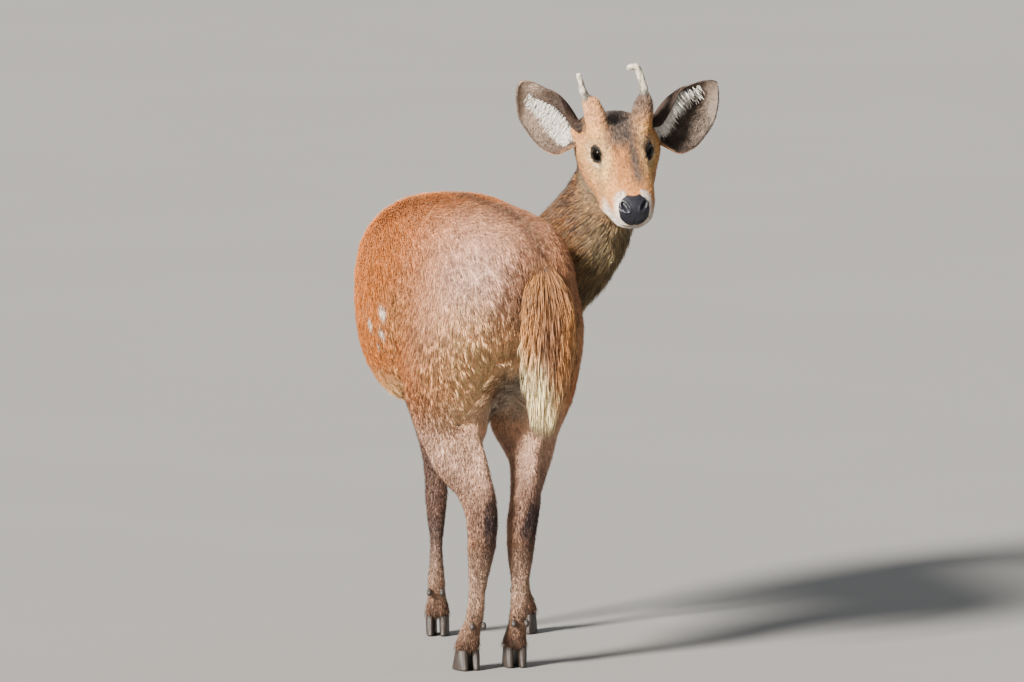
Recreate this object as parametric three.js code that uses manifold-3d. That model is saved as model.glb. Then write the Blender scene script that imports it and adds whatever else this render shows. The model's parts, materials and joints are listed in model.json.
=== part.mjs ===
// A young hog deer stag at life size, standing still and looking back over its right shoulder.
// Millimetres, +Z up. The animal faces -Y and its left side is +X.
import * as THREE from "three";
import { LoftGeometry } from "three/addons/geometries/LoftGeometry.js";
import { mergeVertices } from "three/addons/utils/BufferGeometryUtils.js";
import Module from "manifold-3d";

const wasm = await Module();
wasm.setup();

const degrees = THREE.MathUtils.degToRad;
const UP = new THREE.Vector3(0, 0, 1);
const FORWARD = new THREE.Vector3(0, -1, 0);

// The space between neighbours, and the mesh size of each kind of piece
const GAP = 0.3;
const CELL = { torso: 31, neck: 28, head: 10.5, nose: 7, upperLeg: 22.5, lowerLeg: 16.6, cannon: 11.4, foot: 12 };

// The spine: straight over the pelvis, bent evenly to the right along the back, straight at the chest
const PELVIS = { length: 170, heading: degrees(17) };
const BACK = { length: 350, bend: degrees(44) };
const CHEST_HEADING = PELVIS.heading - BACK.bend;

// Where the limbs stand: distance along the spine, offset from it, and which way each leg points
const HIND_LEGS = {
  along: 175,
  apart: { left: 35, right: 40 },
  heading: { left: degrees(17), right: degrees(3) },
};
const FORE_LEGS = {
  left: { left: 66, forward: 520, heading: degrees(-14) },
  right: { left: -56, forward: 523, heading: degrees(-24) },
};

// The head: the point midway between the eyes, and how the head is turned
const HEAD = {
  left: -208,
  forward: 551,
  up: 686,
  heading: degrees(179.5),
  nod: degrees(31.5),
  roll: degrees(-3),
};

// A point from its distances to the left, forward and up
const at = (left, forward, up) => new THREE.Vector3(left, -forward, up);

// A frame at a point, turned left by heading, nose down by nod and rolled about its forward axis
function frameAt(point, heading = 0, nod = 0, roll = 0) {
  const turn = new THREE.Euler(nod, roll, heading, "ZXY");
  return new THREE.Matrix4().makeRotationFromEuler(turn).setPosition(point);
}

// The spine's place on the plan and its heading, at a distance from the tail's root
function spineAt(along) {
  const radius = BACK.length / BACK.bend;
  const bent = THREE.MathUtils.clamp(along - PELVIS.length, 0, BACK.length);
  const heading = PELVIS.heading - bent / radius;
  const straight = Math.min(along, PELVIS.length);
  const beyond = Math.max(along - PELVIS.length - BACK.length, 0);
  const left =
    straight * Math.sin(PELVIS.heading) +
    radius * (Math.cos(heading) - Math.cos(PELVIS.heading)) +
    beyond * Math.sin(heading);
  const forward =
    straight * Math.cos(PELVIS.heading) -
    radius * (Math.sin(heading) - Math.sin(PELVIS.heading)) +
    beyond * Math.cos(heading);
  return { left, forward, heading };
}

// Distance fields: functions of a place that are negative inside the animal

const smoothMin = (a, b, blend) => {
  const share = Math.max(blend - Math.abs(a - b), 0) / blend;
  return Math.min(a, b) - (share * share * blend) / 4;
};

// Two fields joined with a fillet
const blended = (a, b, blend) => (x, y, z) => smoothMin(a(x, y, z), b(x, y, z), blend);

// Several fields joined one after another with the same fillet
const blendAll = (fields, blend) => fields.reduce((a, b) => blended(a, b, blend));

// A field given in a frame of its own, as a field of the animal's frame
function inFrame(frame, field) {
  const e = frame.clone().invert().elements;
  return (x, y, z) =>
    field(
      e[0] * x + e[4] * y + e[8] * z + e[12],
      e[1] * x + e[5] * y + e[9] * z + e[13],
      e[2] * x + e[6] * y + e[10] * z + e[14],
    );
}

// An ellipsoid with its half sizes to the side, forward and up
function ball(centre, side, forward, up) {
  return (x, y, z) => {
    const dx = x - centre.x;
    const dy = y - centre.y;
    const dz = z - centre.z;
    const far = Math.hypot(dx, dy, dz);
    const reach = Math.hypot(dx / side, dy / forward, dz / up);
    return reach < 1e-6 ? -Math.min(side, forward, up) : far - far / reach;
  };
}

// A chain of ovals along a curve. Each station is [left, forward, up, side, toward, away]: a point of the
// curve, and the oval's half sizes to the side, toward the reference direction and away from it
function tube(stations, reference, { power = 2, steps = 5 } = {}) {
  const points = stations.map(([left, forward, up]) => at(left, forward, up));
  const sizes = stations.map(([, , , side, toward, away]) => new THREE.Vector3(side, toward, away));
  const path = new THREE.CatmullRomCurve3(points, false, "centripetal");
  const widths = new THREE.CatmullRomCurve3(sizes, false, "catmullrom", 0.4);
  const count = (stations.length - 1) * steps;
  const rows = [];
  for (let i = 0; i <= count; i++) {
    const t = i / count;
    const along = path.getTangent(t);
    const toward = reference.clone().addScaledVector(along, -reference.dot(along)).normalize();
    const side = toward.clone().cross(along).normalize();
    rows.push({ p: path.getPoint(t), along, toward, side, size: widths.getPoint(t) });
  }
  return (x, y, z) => {
    let least = Infinity;
    for (const { p, along, toward, side, size } of rows) {
      const dx = x - p.x;
      const dy = y - p.y;
      const dz = z - p.z;
      const far = Math.hypot(dx, dy, dz);
      if (far - Math.max(size.x, size.y, size.z) > least) continue;
      const rise = dx * toward.x + dy * toward.y + dz * toward.z;
      const across = (dx * side.x + dy * side.y + dz * side.z) / size.x;
      const height = rise > 0 ? size.y : size.z;
      const cap = Math.min(size.x, height);
      const ahead = (dx * along.x + dy * along.y + dz * along.z) / cap;
      const sum = Math.abs(across) ** power + Math.abs(rise / height) ** power + Math.abs(ahead) ** power;
      const reach = sum ** (1 / power);
      least = Math.min(least, reach < 1e-6 ? -cap : far - far / reach);
    }
    return least;
  };
}

// The flesh of the torso and neck

// Stations of the torso: distance along the spine, then the heights of the back, of the widest level and
// of the belly, the half width there, and how far the bend swells the left side
const TORSO = [
  [56, 608, 545, 480, 54, 0],
  [80, 636, 548, 445, 74, 0],
  [108, 649, 548, 418, 84, 0],
  [150, 657, 542, 398, 94, 2],
  [220, 661, 532, 382, 107, 6],
  [300, 662, 525, 366, 126, 12],
  [380, 652, 516, 348, 130, 14],
  [450, 634, 504, 338, 117, 10],
  [520, 622, 492, 340, 100, 4],
  [600, 608, 485, 356, 86, 0],
  [650, 590, 480, 400, 66, 0],
];
const torso = tube(
  TORSO.map(([along, back, widest, belly, half, swell]) => {
    const { left, forward, heading } = spineAt(along);
    const aside = [left + swell * Math.cos(heading), forward - swell * Math.sin(heading)];
    return [...aside, widest, half, back - widest, widest - belly];
  }),
  UP,
  { power: 2.5 },
);

// The neck climbs forward from the chest and curls back to the right
const neck = tube(
  [
    [4, 546, 478, 92, 116, 120],
    [-42, 640, 482, 77, 105, 96],
    [-112, 690, 500, 65, 77, 86],
    [-160, 697, 540, 58, 63, 77],
    [-196, 675, 598, 53, 55, 65],
    [-212, 634, 678, 48, 40, 50],
  ],
  UP,
);

// The legs

// Stations of a hind leg in its own frame: outward, forward and up, then half sizes to the side, in
// front and behind
const HIND_LEG = [
  [20, -47, 538, 46, 78, 94],
  [32, -34, 496, 53, 92, 112],
  [33, -14, 450, 55, 90, 104],
  [28, 6, 405, 60, 76, 86],
  [19, 13, 355, 52.5, 53, 62],
  [20, 7, 329, 42, 43, 50],
  [22, 0, 303, 33, 34, 38],
  [11, -30, 264, 24, 26, 26],
  [2, -46, 228, 21.5, 25, 28],
  [-1, -44, 200, 22, 20, 26],
  [-1, -38, 165, 20, 15, 20],
  [0, -32, 120, 13, 13, 14.5],
  [0, -27, 90, 14, 14, 15],
  [0, -14, 62, 14.5, 13.5, 14],
  [0, -2, 38, 17.5, 18, 17],
  [0, 4, 18, 17, 18, 17],
];
const HEEL_BONE = [
  [0, -46, 212, 12, 15, 13],
  [2, -62, 238, 13, 15, 13],
  [5, -72, 258, 13, 14, 13],
  [10, -62, 296, 13, 15, 14],
  [19, -42, 345, 15, 20, 17],
];
const FORE_LEG = [
  [16, 48, 500, 34, 56, 50],
  [24, 34, 455, 38, 58, 56],
  [27, 14, 408, 35, 48, 54],
  [22, 0, 362, 28, 36, 42],
  [13, -2, 315, 22, 26, 30],
  [6, 2, 268, 17.5, 20, 21],
  [1, 6, 228, 18, 19, 18],
  [0, 6, 200, 18, 19, 18],
  [0, 3, 175, 14, 14.5, 15],
  [0, 0, 135, 11, 12, 12.5],
  [0, 0, 98, 12, 12.5, 13],
  [0, 2, 82, 14, 14, 15],
  [0, 12, 58, 14, 13, 14],
  [0, 22, 38, 17.5, 18, 17],
  [0, 28, 18, 17, 18, 17],
];

// Where each kind of leg is parted, and how far forward its hooves stand
const LEVELS = {
  hind: { knee: 356, hock: 187, fetlock: 100 },
  fore: { knee: 325, hock: 183, fetlock: 104 },
};
const HOOF_FORWARD = { hind: 6, fore: 30 };
const CORONET = 30;

const SIDES = { left: 1, right: -1 };
const mirrored = (stations, side) => stations.map(([out, ...rest]) => [out * side, ...rest]);

function legFrame(kind, name) {
  if (kind === "fore") {
    const { left, forward, heading } = FORE_LEGS[name];
    return frameAt(at(left, forward, 0), heading);
  }
  const { left, forward, heading } = spineAt(HIND_LEGS.along);
  const aside = SIDES[name] * HIND_LEGS.apart[name];
  const foot = at(left + aside * Math.cos(heading), forward - aside * Math.sin(heading), 0);
  return frameAt(foot, HIND_LEGS.heading[name]);
}

function legField(kind, name) {
  const side = SIDES[name];
  if (kind === "fore") {
    const elbow = ball(at(side * 26, -26, 388), 18, 26, 26);
    return inFrame(legFrame(kind, name), blended(tube(mirrored(FORE_LEG, side), FORWARD), elbow, 22));
  }
  const heel = tube(mirrored(HEEL_BONE, side), FORWARD);
  return inFrame(legFrame(kind, name), blended(tube(mirrored(HIND_LEG, side), FORWARD), heel, 20));
}

// The head in its own frame, whose origin is midway between the eyes and whose forward axis is the
// line of the nose
const HEAD_FRAME = frameAt(
  at(HEAD.left, HEAD.forward, HEAD.up),
  HEAD.heading,
  HEAD.nod,
  HEAD.roll,
);
const EYE = { apart: 31, radius: 13, lid: 2, turn: degrees(44), long: 12.5, high: 8.5 };
const pair = (make) => [make(1), make(-1)];

const MUZZLE = [
  [0, -12, -10, 35, 32, 46],
  [0, 18, -12, 37, 31, 42],
  [0, 48, -13, 38, 29, 38],
  [0, 76, -15, 36.5, 27, 32],
  [0, 98, -16, 32.5, 24, 28],
  [0, 111, -17, 26.5, 20, 23],
];
const JAW = [
  [0, -48, -56, 38, 26, 30],
  [0, -14, -54, 42, 24, 28],
  [0, 22, -50, 43, 22, 26],
  [0, 58, -44, 41, 20, 23],
  [0, 88, -39, 32, 16, 19],
  [0, 103, -37, 25, 14, 17],
];
const PEDICLE = [
  [27, -26, 8, 17, 18, 18],
  [34, -36, 38, 16, 17, 17],
  [38.5, -45, 56, 14, 14, 14],
];
const PEDICLE_LEAN = -3;

const skull = blendAll(
  [
    ball(at(0, -44, -14), 52, 58, 33),
    ball(at(0, -14, -3), 35, 44, 22),
    tube(MUZZLE, UP, { power: 2.3 }),
    tube(JAW, UP, { power: 2.2 }),
    ...pair((side) => ball(at(side * 23, -26, -44), 31, 48, 44)),
    ...pair((side) => ball(at(side * 24, -10, 6), 14, 24, 16)),
    ...pair((side) => ball(at(side * 40, -46, -22), 21, 38, 30)),
  ],
  16,
);
const eyelid = EYE.radius + EYE.lid;
const face = blendAll(
  [
    skull,
    ...pair((side) => ball(at(side * 15, 98, -30), 15, 20, 13)),
    ball(at(0, 101, -45), 16, 14, 10),
    ball(at(0, 107, -15), 22, 14, 19),
    ...pair((side) => ball(at(side * 42, -66, -8), 15, 20, 22)),
    ...pair((side) => ball(at(side * EYE.apart, 0, 0), eyelid, eyelid, eyelid)),
  ],
  8,
);
const pedicle = (side) => {
  const stations = mirrored(PEDICLE, side).map(([left, ...rest], i) => [left + i * PEDICLE_LEAN / 3, ...rest]);
  return tube(stations, UP);
};
const headField = inFrame(
  HEAD_FRAME,
  blendAll([face, ...pair((side) => pedicle(side))], 12),
);

// The whole animal, with each leg joined to the body by itself so that no web grows between two legs
const FILLET = { neck: 45, head: 22, hind: 30, fore: 34 };
const trunk = blended(torso, neck, FILLET.neck);
const legged = {};
for (const kind of ["hind", "fore"])
  for (const name of Object.keys(SIDES))
    legged[kind + name] = blended(trunk, legField(kind, name), FILLET[kind]);
const body = (x, y, z) => Math.min(...Object.values(legged).map((field) => field(x, y, z)));
const neckAndHead = blended(trunk, headField, FILLET.head);

// Solids, and the pieces of a field

function bareGeometry(positions, faces) {
  const geometry = new THREE.BufferGeometry();
  geometry.setAttribute("position", positions);
  geometry.setIndex(faces);
  return geometry;
}

// A closed geometry as a solid, with its faces turned outward
function solidOf(geometry) {
  const merged = mergeVertices(bareGeometry(geometry.getAttribute("position"), geometry.index), 1e-4);
  const vertProperties = merged.getAttribute("position").array;
  const corners = Array.from(merged.index.array);
  const build = (list) =>
    new wasm.Manifold(new wasm.Mesh({ numProp: 3, vertProperties, triVerts: new Uint32Array(list) }));
  const solid = build(corners);
  return solid.volume() > 0 ? solid : build(corners.reverse());
}

function geometryOf(solid) {
  const mesh = solid.getMesh();
  const positions = new THREE.BufferAttribute(mesh.vertProperties, 3);
  const geometry = bareGeometry(positions, new THREE.BufferAttribute(mesh.triVerts, 1));
  geometry.computeVertexNormals();
  return geometry;
}

const placed = (geometry, frame) => solidOf(geometry.applyMatrix4(frame));
const largest = (solid) => solid.decompose().reduce((a, b) => (a.volume() > b.volume() ? a : b));
const cutBy = (solid, others) => others.reduce((rest, other) => rest.subtract(other), solid);

// A convex outline in the left and up directions, carried forward from one distance to another
function region(frame, outline, [near, far]) {
  const centre = outline.reduce((sum, [left, up]) => [sum[0] + left, sum[1] + up], [0, 0]);
  const middle = centre.map((value) => value / outline.length);
  const sides = outline.map(([left, up], i) => {
    const [nextLeft, nextUp] = outline[(i + 1) % outline.length];
    const normal = new THREE.Vector2(nextUp - up, left - nextLeft).normalize();
    const reach = normal.x * left + normal.y * up;
    const outward = normal.x * middle[0] + normal.y * middle[1] < reach;
    return { normal: outward ? normal : normal.negate(), reach: outward ? reach : -reach };
  });
  const depth = far - near;
  const away = (x, y, z) =>
    Math.max(
      Math.abs(-y - near - depth / 2) - depth / 2,
      ...sides.map(({ normal, reach }) => normal.x * x + normal.y * z - reach),
    );
  const solid = (grown) => {
    const corners = sides.map((side, i) => {
      const last = sides[(i + sides.length - 1) % sides.length];
      const [a, b] = [last.normal, side.normal];
      const [p, q] = [last.reach + grown, side.reach + grown];
      const area = a.x * b.y - a.y * b.x;
      return new THREE.Vector2((p * b.y - q * a.y) / area, (q * a.x - p * b.x) / area);
    });
    const options = { depth: depth + 2 * grown, bevelEnabled: false };
    const block = new THREE.ExtrudeGeometry(new THREE.Shape(corners), options);
    return placed(block.rotateX(Math.PI / 2).translate(0, grown - near, 0), frame);
  };
  const box = new THREE.Box3();
  for (const [left, up] of outline)
    for (const forward of [near, far]) box.expandByPoint(at(left, forward, up).applyMatrix4(frame));
  return { away: inFrame(frame, away), solid, box };
}

const rectangle = ([left, right], [low, high]) => [
  [left, low],
  [right, low],
  [right, high],
  [left, high],
];

// The corners of a cell, and its edges as pairs of corners
const CORNERS = [0, 1, 2, 3, 4, 5, 6, 7].map((n) => [n & 1, (n >> 1) & 1, n >> 2]);
const EDGES = CORNERS.flatMap((_, n) => [1, 2, 4].filter((bit) => !(n & bit)).map((bit) => [n, n | bit]));

// A place moved along the field's slope until the field is zero there
function ontoSurface(field, start, reach) {
  const h = 0.5;
  let spot = start;
  for (let round = 0; round < 2; round++) {
    const [x, y, z] = spot;
    const slope = [
      (field(x + h, y, z) - field(x - h, y, z)) / (2 * h),
      (field(x, y + h, z) - field(x, y - h, z)) / (2 * h),
      (field(x, y, z + h) - field(x, y, z - h)) / (2 * h),
    ];
    const square = slope[0] ** 2 + slope[1] ** 2 + slope[2] ** 2;
    if (square < 0.05) break;
    const value = field(x, y, z);
    spot = spot.map((s, axis) => s - (value * slope[axis]) / square);
  }
  return Math.hypot(...spot.map((s, axis) => s - start[axis])) < reach ? spot : start;
}

// The surface where a field is zero, inside a box: one vertex in each cell that the surface crosses,
// and two triangles across each edge of the grid that it crosses
function surfaceOf(field, box, cell) {
  const low = box.min.toArray();
  const size = box.getSize(new THREE.Vector3()).toArray();
  const [nx, ny, nz] = size.map((length) => Math.ceil(length / cell) + 1);
  const index = (i, j, k) => i + nx * (j + ny * k);
  const values = new Float64Array(nx * ny * nz);
  for (let k = 0; k < nz; k++)
    for (let j = 0; j < ny; j++)
      for (let i = 0; i < nx; i++)
        values[index(i, j, k)] = field(low[0] + i * cell, low[1] + j * cell, low[2] + k * cell);

  const positions = [];
  const vertexOf = new Map();
  const addVertex = (i, j, k) => {
    const corner = CORNERS.map(([a, b, c]) => values[index(i + a, j + b, k + c)]);
    const crossed = EDGES.filter(([m, n]) => corner[m] < 0 !== corner[n] < 0);
    if (crossed.length === 0) return;
    const sum = [i, j, k].map((n) => n * crossed.length);
    for (const [m, n] of crossed) {
      const t = corner[m] / (corner[m] - corner[n]);
      for (let axis = 0; axis < 3; axis++) sum[axis] += CORNERS[m][axis] * (1 - t) + CORNERS[n][axis] * t;
    }
    const start = sum.map((total, axis) => low[axis] + (total / crossed.length) * cell);
    vertexOf.set(index(i, j, k), positions.length / 3);
    positions.push(...ontoSurface(field, start, 0.45 * cell));
  };
  for (let k = 0; k + 1 < nz; k++)
    for (let j = 0; j + 1 < ny; j++) for (let i = 0; i + 1 < nx; i++) addVertex(i, j, k);

  const faces = [];
  const apart = (a, b) =>
    Math.hypot(...[0, 1, 2].map((axis) => positions[3 * a + axis] - positions[3 * b + axis]));
  const addFaces = (place, axis) => {
    const next = place.map((n, other) => (other === axis ? n + 1 : n));
    const here = values[index(...place)] < 0;
    if (here === values[index(...next)] < 0) return;
    const cellAt = (back, aside) => {
      const corner = [...place];
      corner[(axis + 1) % 3] -= back;
      corner[(axis + 2) % 3] -= aside;
      return vertexOf.get(index(...corner));
    };
    const ring = [cellAt(1, 1), cellAt(0, 1), cellAt(0, 0), cellAt(1, 0)];
    const [a, b, c, d] = here ? ring : ring.reverse();
    if (apart(a, c) < apart(b, d)) faces.push(a, b, c, a, c, d);
    else faces.push(a, b, d, b, c, d);
  };
  for (let k = 1; k + 1 < nz; k++)
    for (let j = 1; j + 1 < ny; j++)
      for (let i = 1; i + 1 < nx; i++) for (let axis = 0; axis < 3; axis++) addFaces([i, j, k], axis);
  return bareGeometry(new THREE.Float32BufferAttribute(positions, 3), faces);
}

// The part of a field inside one region and outside others, cut exactly along their faces
function carve(field, cell, inside, outside = []) {
  const margin = 1.6 * cell;
  const bounded = (x, y, z) => {
    const edge = Math.max(inside.away(x, y, z), ...outside.map((other) => -other.away(x, y, z))) - margin;
    return edge > 0 ? edge : Math.max(field(x, y, z), edge);
  };
  const box = inside.box.clone().expandByScalar(margin + 2.5 * cell);
  const rough = solidOf(surfaceOf(bounded, box, cell)).intersect(inside.solid(0));
  return largest(cutBy(rough, outside.map((other) => other.solid(GAP))));
}

// The regions where the animal is parted

const pelvis = spineAt(HIND_LEGS.along);
const PELVIS_FRAME = frameAt(at(pelvis.left, pelvis.forward, 0), pelvis.heading);
const shoulders = spineAt(530);
const CHEST_FRAME = frameAt(at(shoulders.left, shoulders.forward, 0), CHEST_HEADING);
const loin = spineAt(320);
const LOIN_FRAME = frameAt(at(loin.left, loin.forward, 0), loin.heading);

// An upper leg's region widens upward: its top climbs from the groin or armpit to the animal's side
function upperLegRegion(frame, side, { groin, climb, forward }) {
  const inner = 1.5;
  const outer = 240;
  const outline = [
    [inner, 260],
    [outer, 260],
    [outer, groin + (outer - inner) * climb],
    [inner, groin],
  ];
  return region(frame, outline.map(([out, up]) => [side * out, up]), forward);
}

const UPPER_LEG = {
  hind: { frame: PELVIS_FRAME, groin: 398, climb: 1.05, forward: [-205, 96] },
  fore: { frame: CHEST_FRAME, groin: 346, climb: 0.8, forward: [-84, 100] },
};
const upperRegion = {};
const lowerRegion = {};
for (const kind of ["hind", "fore"])
  for (const name of Object.keys(SIDES)) {
    const { frame, ...sizes } = UPPER_LEG[kind];
    upperRegion[kind + name] = upperLegRegion(frame, SIDES[name], sizes);
    const slice = (low, high) =>
      region(legFrame(kind, name), rectangle([-95, 95], [low, high]), [-150, 130]);
    const { knee, hock, fetlock } = LEVELS[kind];
    lowerRegion[kind + name] = {
      below: slice(-20, knee),
      shank: slice(hock, knee - GAP),
      cannon: slice(fetlock, hock - GAP),
      foot: slice(CORONET, fetlock - GAP),
    };
  }

const neckRegion = region(
  frameAt(at(-2, 596, 480), degrees(-45), degrees(-10)),
  rectangle([-330, 330], [-260, 420]),
  [0, 420],
);
const headRegion = region(
  HEAD_FRAME.clone().multiply(frameAt(at(0, -72, -72), 0, degrees(37))),
  rectangle([-120, 120], [0, 260]),
  [-110, 290],
);
const NOSE_OUTLINE = [[-9, -34], [9, -34], [21, -21], [21, -6], [12, 3], [-12, 3], [-21, -6], [-21, -21]];
const noseRegion = region(HEAD_FRAME, NOSE_OUTLINE, [107, 150]);
const behind = region(LOIN_FRAME, rectangle([-260, 260], [250, 760]), [-420, 0]);
const ahead = region(LOIN_FRAME, rectangle([-260, 260], [250, 760]), [GAP, 480]);

// Small pieces made section by section

// A ring of places round a centre, from two half axes
function ringAt(centre, across, rise, count, shape = () => 1) {
  return Array.from({ length: count }, (_, i) => {
    const angle = (2 * Math.PI * i) / count;
    const reach = shape(angle);
    return centre
      .clone()
      .addScaledVector(across, reach * Math.cos(angle))
      .addScaledVector(rise, reach * Math.sin(angle));
  });
}

const loft = (rings) => new LoftGeometry(rings, { capStart: true, capEnd: true });

// A round rod through stations of a place and a radius, from a curve through them
function rod(stations, grown, { sides = 8, steps = 2 } = {}) {
  const path = new THREE.CatmullRomCurve3(stations.map(([p]) => p));
  const count = (stations.length - 1) * steps;
  const rings = [];
  for (let i = 0; i <= count; i++) {
    const t = i / count;
    const along = path.getTangent(t);
    const across = FORWARD.clone().addScaledVector(along, -FORWARD.dot(along)).normalize();
    const row = Math.min(Math.floor(t * (stations.length - 1)), stations.length - 2);
    const part = t * (stations.length - 1) - row;
    const radius = THREE.MathUtils.lerp(stations[row][1], stations[row + 1][1], part) + grown;
    const rise = along.clone().cross(across).multiplyScalar(radius);
    const centre = path.getPoint(t).addScaledVector(along, i === 0 ? -grown : 0);
    rings.push(ringAt(centre, across.multiplyScalar(radius), rise, sides));
  }
  return loft(rings);
}

// The antlers are first spikes: one straight, one hooked inward at its tip
const ANTLERS = {
  left: [
    [at(37, -47, 56), 6.4],
    [at(35, -53, 76), 5.4],
    [at(30, -59, 94), 5],
    [at(24, -61, 104), 5],
    [at(16, -61, 104), 4.2],
    [at(14, -60, 100), 2.2],
  ],
  right: [
    [at(-43, -46, 56), 6],
    [at(-50, -52, 70), 5],
    [at(-54, -58, 82), 4.4],
    [at(-57, -63, 94), 3.6],
    [at(-57.5, -64, 96.5), 1.8],
  ],
};

// An ear is a cupped leaf. Its sections run from the root to the tip: how far along, half the width, how
// far it turns round to the outer rim and to the inner rim, how much further the inner rim curls over,
// how thick the wall is, and how far the section hangs below the axis
const EARS = {
  left: { tip: at(147, -97, 37), wide: 0.93 },
  right: { tip: at(-133, -97, 58), wide: 0.85 },
};
const EAR_ROOT = at(49, -64, -10);
const EAR_SECTIONS = [
  [-0.06, 14, 150, 120, 30, 4, 2],
  [0.04, 26, 120, 80, 84, 3.8, 12],
  [0.12, 33.5, 92, 60, 118, 3.6, 19],
  [0.24, 39, 76, 50, 128, 3.2, 19],
  [0.38, 42, 66, 46, 112, 2.8, 17],
  [0.55, 40, 57, 44, 70, 2.6, 14],
  [0.72, 34, 50, 42, 30, 2.4, 12],
  [0.87, 23, 44, 40, 6, 2.2, 7],
  [0.97, 11, 40, 38, 0, 2, 3],
  [1.01, 4, 36, 36, 0, 1.6, 1],
];
const EAR_FACING = at(0.1, 0.78, 0.55);
const EAR_RIM = { curlFrom: 0.25, points: 11, steps: 6 };

// The cup's section as places and outward directions (across, open) from the outer rim to the inner one.
// It is walked at an even pace while it turns, then scaled to its width and centred
function cupSection(half, outer, inner, curl) {
  const { curlFrom, points, steps } = EAR_RIM;
  const count = (points - 1) * steps;
  const walk = [{ x: 0, y: 0 }];
  for (let i = 0; i <= count; i++) {
    const t = (2 * i) / count - 1;
    const curled = Math.max(0, t - curlFrom) / (1 - curlFrom);
    const turn = t < 0 ? outer * t : inner * t + curl * curled;
    const last = walk[i];
    last.turn = degrees(turn);
    walk.push({ x: last.x + Math.cos(last.turn), y: last.y + Math.sin(last.turn) });
  }
  walk.pop();
  const xs = walk.map(({ x }) => x);
  const [low, high] = [Math.min(...xs), Math.max(...xs)];
  const deepest = Math.min(...walk.map(({ y }) => y));
  const scale = (2 * half) / (high - low);
  return walk
    .filter((_, i) => i % steps === 0)
    .map(({ x, y, turn }) => ({
      across: (x - (low + high) / 2) * scale,
      open: (y - deepest) * scale,
      away: [Math.sin(turn), -Math.cos(turn)],
      turn,
    }));
}

function earGeometry(name, grown) {
  const side = SIDES[name];
  const root = at(side * EAR_ROOT.x, -EAR_ROOT.y, EAR_ROOT.z);
  const { tip, wide } = EARS[name];
  const axis = tip.clone().sub(root);
  const along = axis.clone().normalize();
  const facing = EAR_FACING.clone().setX(side * EAR_FACING.x);
  const open = facing.addScaledVector(along, -facing.dot(along)).normalize();
  const across = along.clone().cross(open).multiplyScalar(-side).normalize();
  const rings = EAR_SECTIONS.map(([share, half, outer, inner, curl, wall, hang]) => {
    const centre = root
      .clone()
      .addScaledVector(axis, share)
      .addScaledVector(across, -hang)
      .addScaledVector(open, -0.35 * half);
    const section = cupSection(half * wide, outer, inner, curl);
    const face = (offset) =>
      section.map(({ across: x, open: y, away, turn }, i) => {
        const end = i === 0 ? -grown : i === section.length - 1 ? grown : 0;
        return centre
          .clone()
          .addScaledVector(across, x + away[0] * offset + Math.cos(turn) * end)
          .addScaledVector(open, y + away[1] * offset + Math.sin(turn) * end);
      });
    const thick = wall / 2 + grown;
    const ring = [...face(-thick), ...face(thick).reverse()];
    return side < 0 ? ring : ring.reverse();
  });
  const pushedBack = rings[0].map((place) => place.clone().addScaledVector(along, -grown));
  return loft(grown ? [pushedBack, ...rings] : rings);
}

// The eyes, the almond opening between the lids, the line of the mouth and the nostrils

function eyeGeometry(side, grown) {
  const ball = new THREE.SphereGeometry(EYE.radius + grown, 12, 8);
  return ball.translate(side * EYE.apart, 0, 0);
}

function lidOpening(side) {
  const almond = [[-1, 0], [-0.6, -0.75], [0, -1], [0.6, -0.75], [1, 0], [0.6, 0.75], [0, 1], [-0.6, 0.75]];
  const outline = almond.map(([along, up]) => [along * EYE.long, up * EYE.high]);
  const frame = frameAt(at(side * EYE.apart, 0, 0), side * EYE.turn);
  return region(HEAD_FRAME.clone().multiply(frame), outline, [4, 40]).solid(0);
}

const MOUTH = { front: [125, -38], corner: [62, -42], height: 1.2, core: 10 };

function mouthLine() {
  const { front, corner, height, core } = MOUTH;
  const sideways = HEAD_FRAME.clone().multiply(frameAt(at(0, 0, 0), degrees(90)));
  const outline = [
    [-front[0], front[1] - height / 2],
    [-corner[0], corner[1] - height / 2],
    [-corner[0], corner[1] + height / 2],
    [-front[0], front[1] + height / 2],
  ];
  const middle = region(HEAD_FRAME, rectangle([-core, core], [-80, 0]), [40, 104]);
  return region(sideways, outline, [-40, 40]).solid(0).subtract(middle.solid(0));
}

function nostrilGeometry(side) {
  const pit = new THREE.SphereGeometry(1, 8, 6).scale(2.6, 5, 4.4).rotateY(side * degrees(25));
  return pit.translate(side * 11, -119, -9);
}

// Hooves: two claws to a foot, with flat soles, and two small dewclaws behind
const CLAW = { aside: 8.6, half: 7.8, heel: -22, toe: 27, topHeel: -20, topToe: 11 };

function clawGeometry(side) {
  const section = (up, heel, toe, half) => {
    const centre = at(side * CLAW.aside, (toe + heel) / 2, up);
    const shape = (angle) => 1 - 0.16 * Math.sin(angle / 2 - Math.PI / 2) ** 8;
    return ringAt(centre, at(0, (toe - heel) / 2, 0), at(half, 0, 0), 12, shape);
  };
  const mixed = (part) => [
    THREE.MathUtils.lerp(CLAW.heel, CLAW.topHeel, part),
    THREE.MathUtils.lerp(CLAW.toe, CLAW.topToe, part),
  ];
  return loft([
    section(0, CLAW.heel + 2, CLAW.toe - 1.5, CLAW.half - 1),
    section(3, ...mixed(0.1), CLAW.half),
    section(15, ...mixed(0.5), CLAW.half + 0.4),
    section(CORONET - GAP, ...mixed(1), CLAW.half - 0.4),
  ]);
}

function dewclawGeometry(kind, side, grown) {
  const claw = new THREE.SphereGeometry(1, 6, 4);
  claw.scale(5 + grown, 5.5 + grown, 9 + grown).rotateX(degrees(-24));
  const back = { hind: -34, fore: -10 }[kind];
  return claw.translate(side * 9, -back, 66);
}

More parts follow.
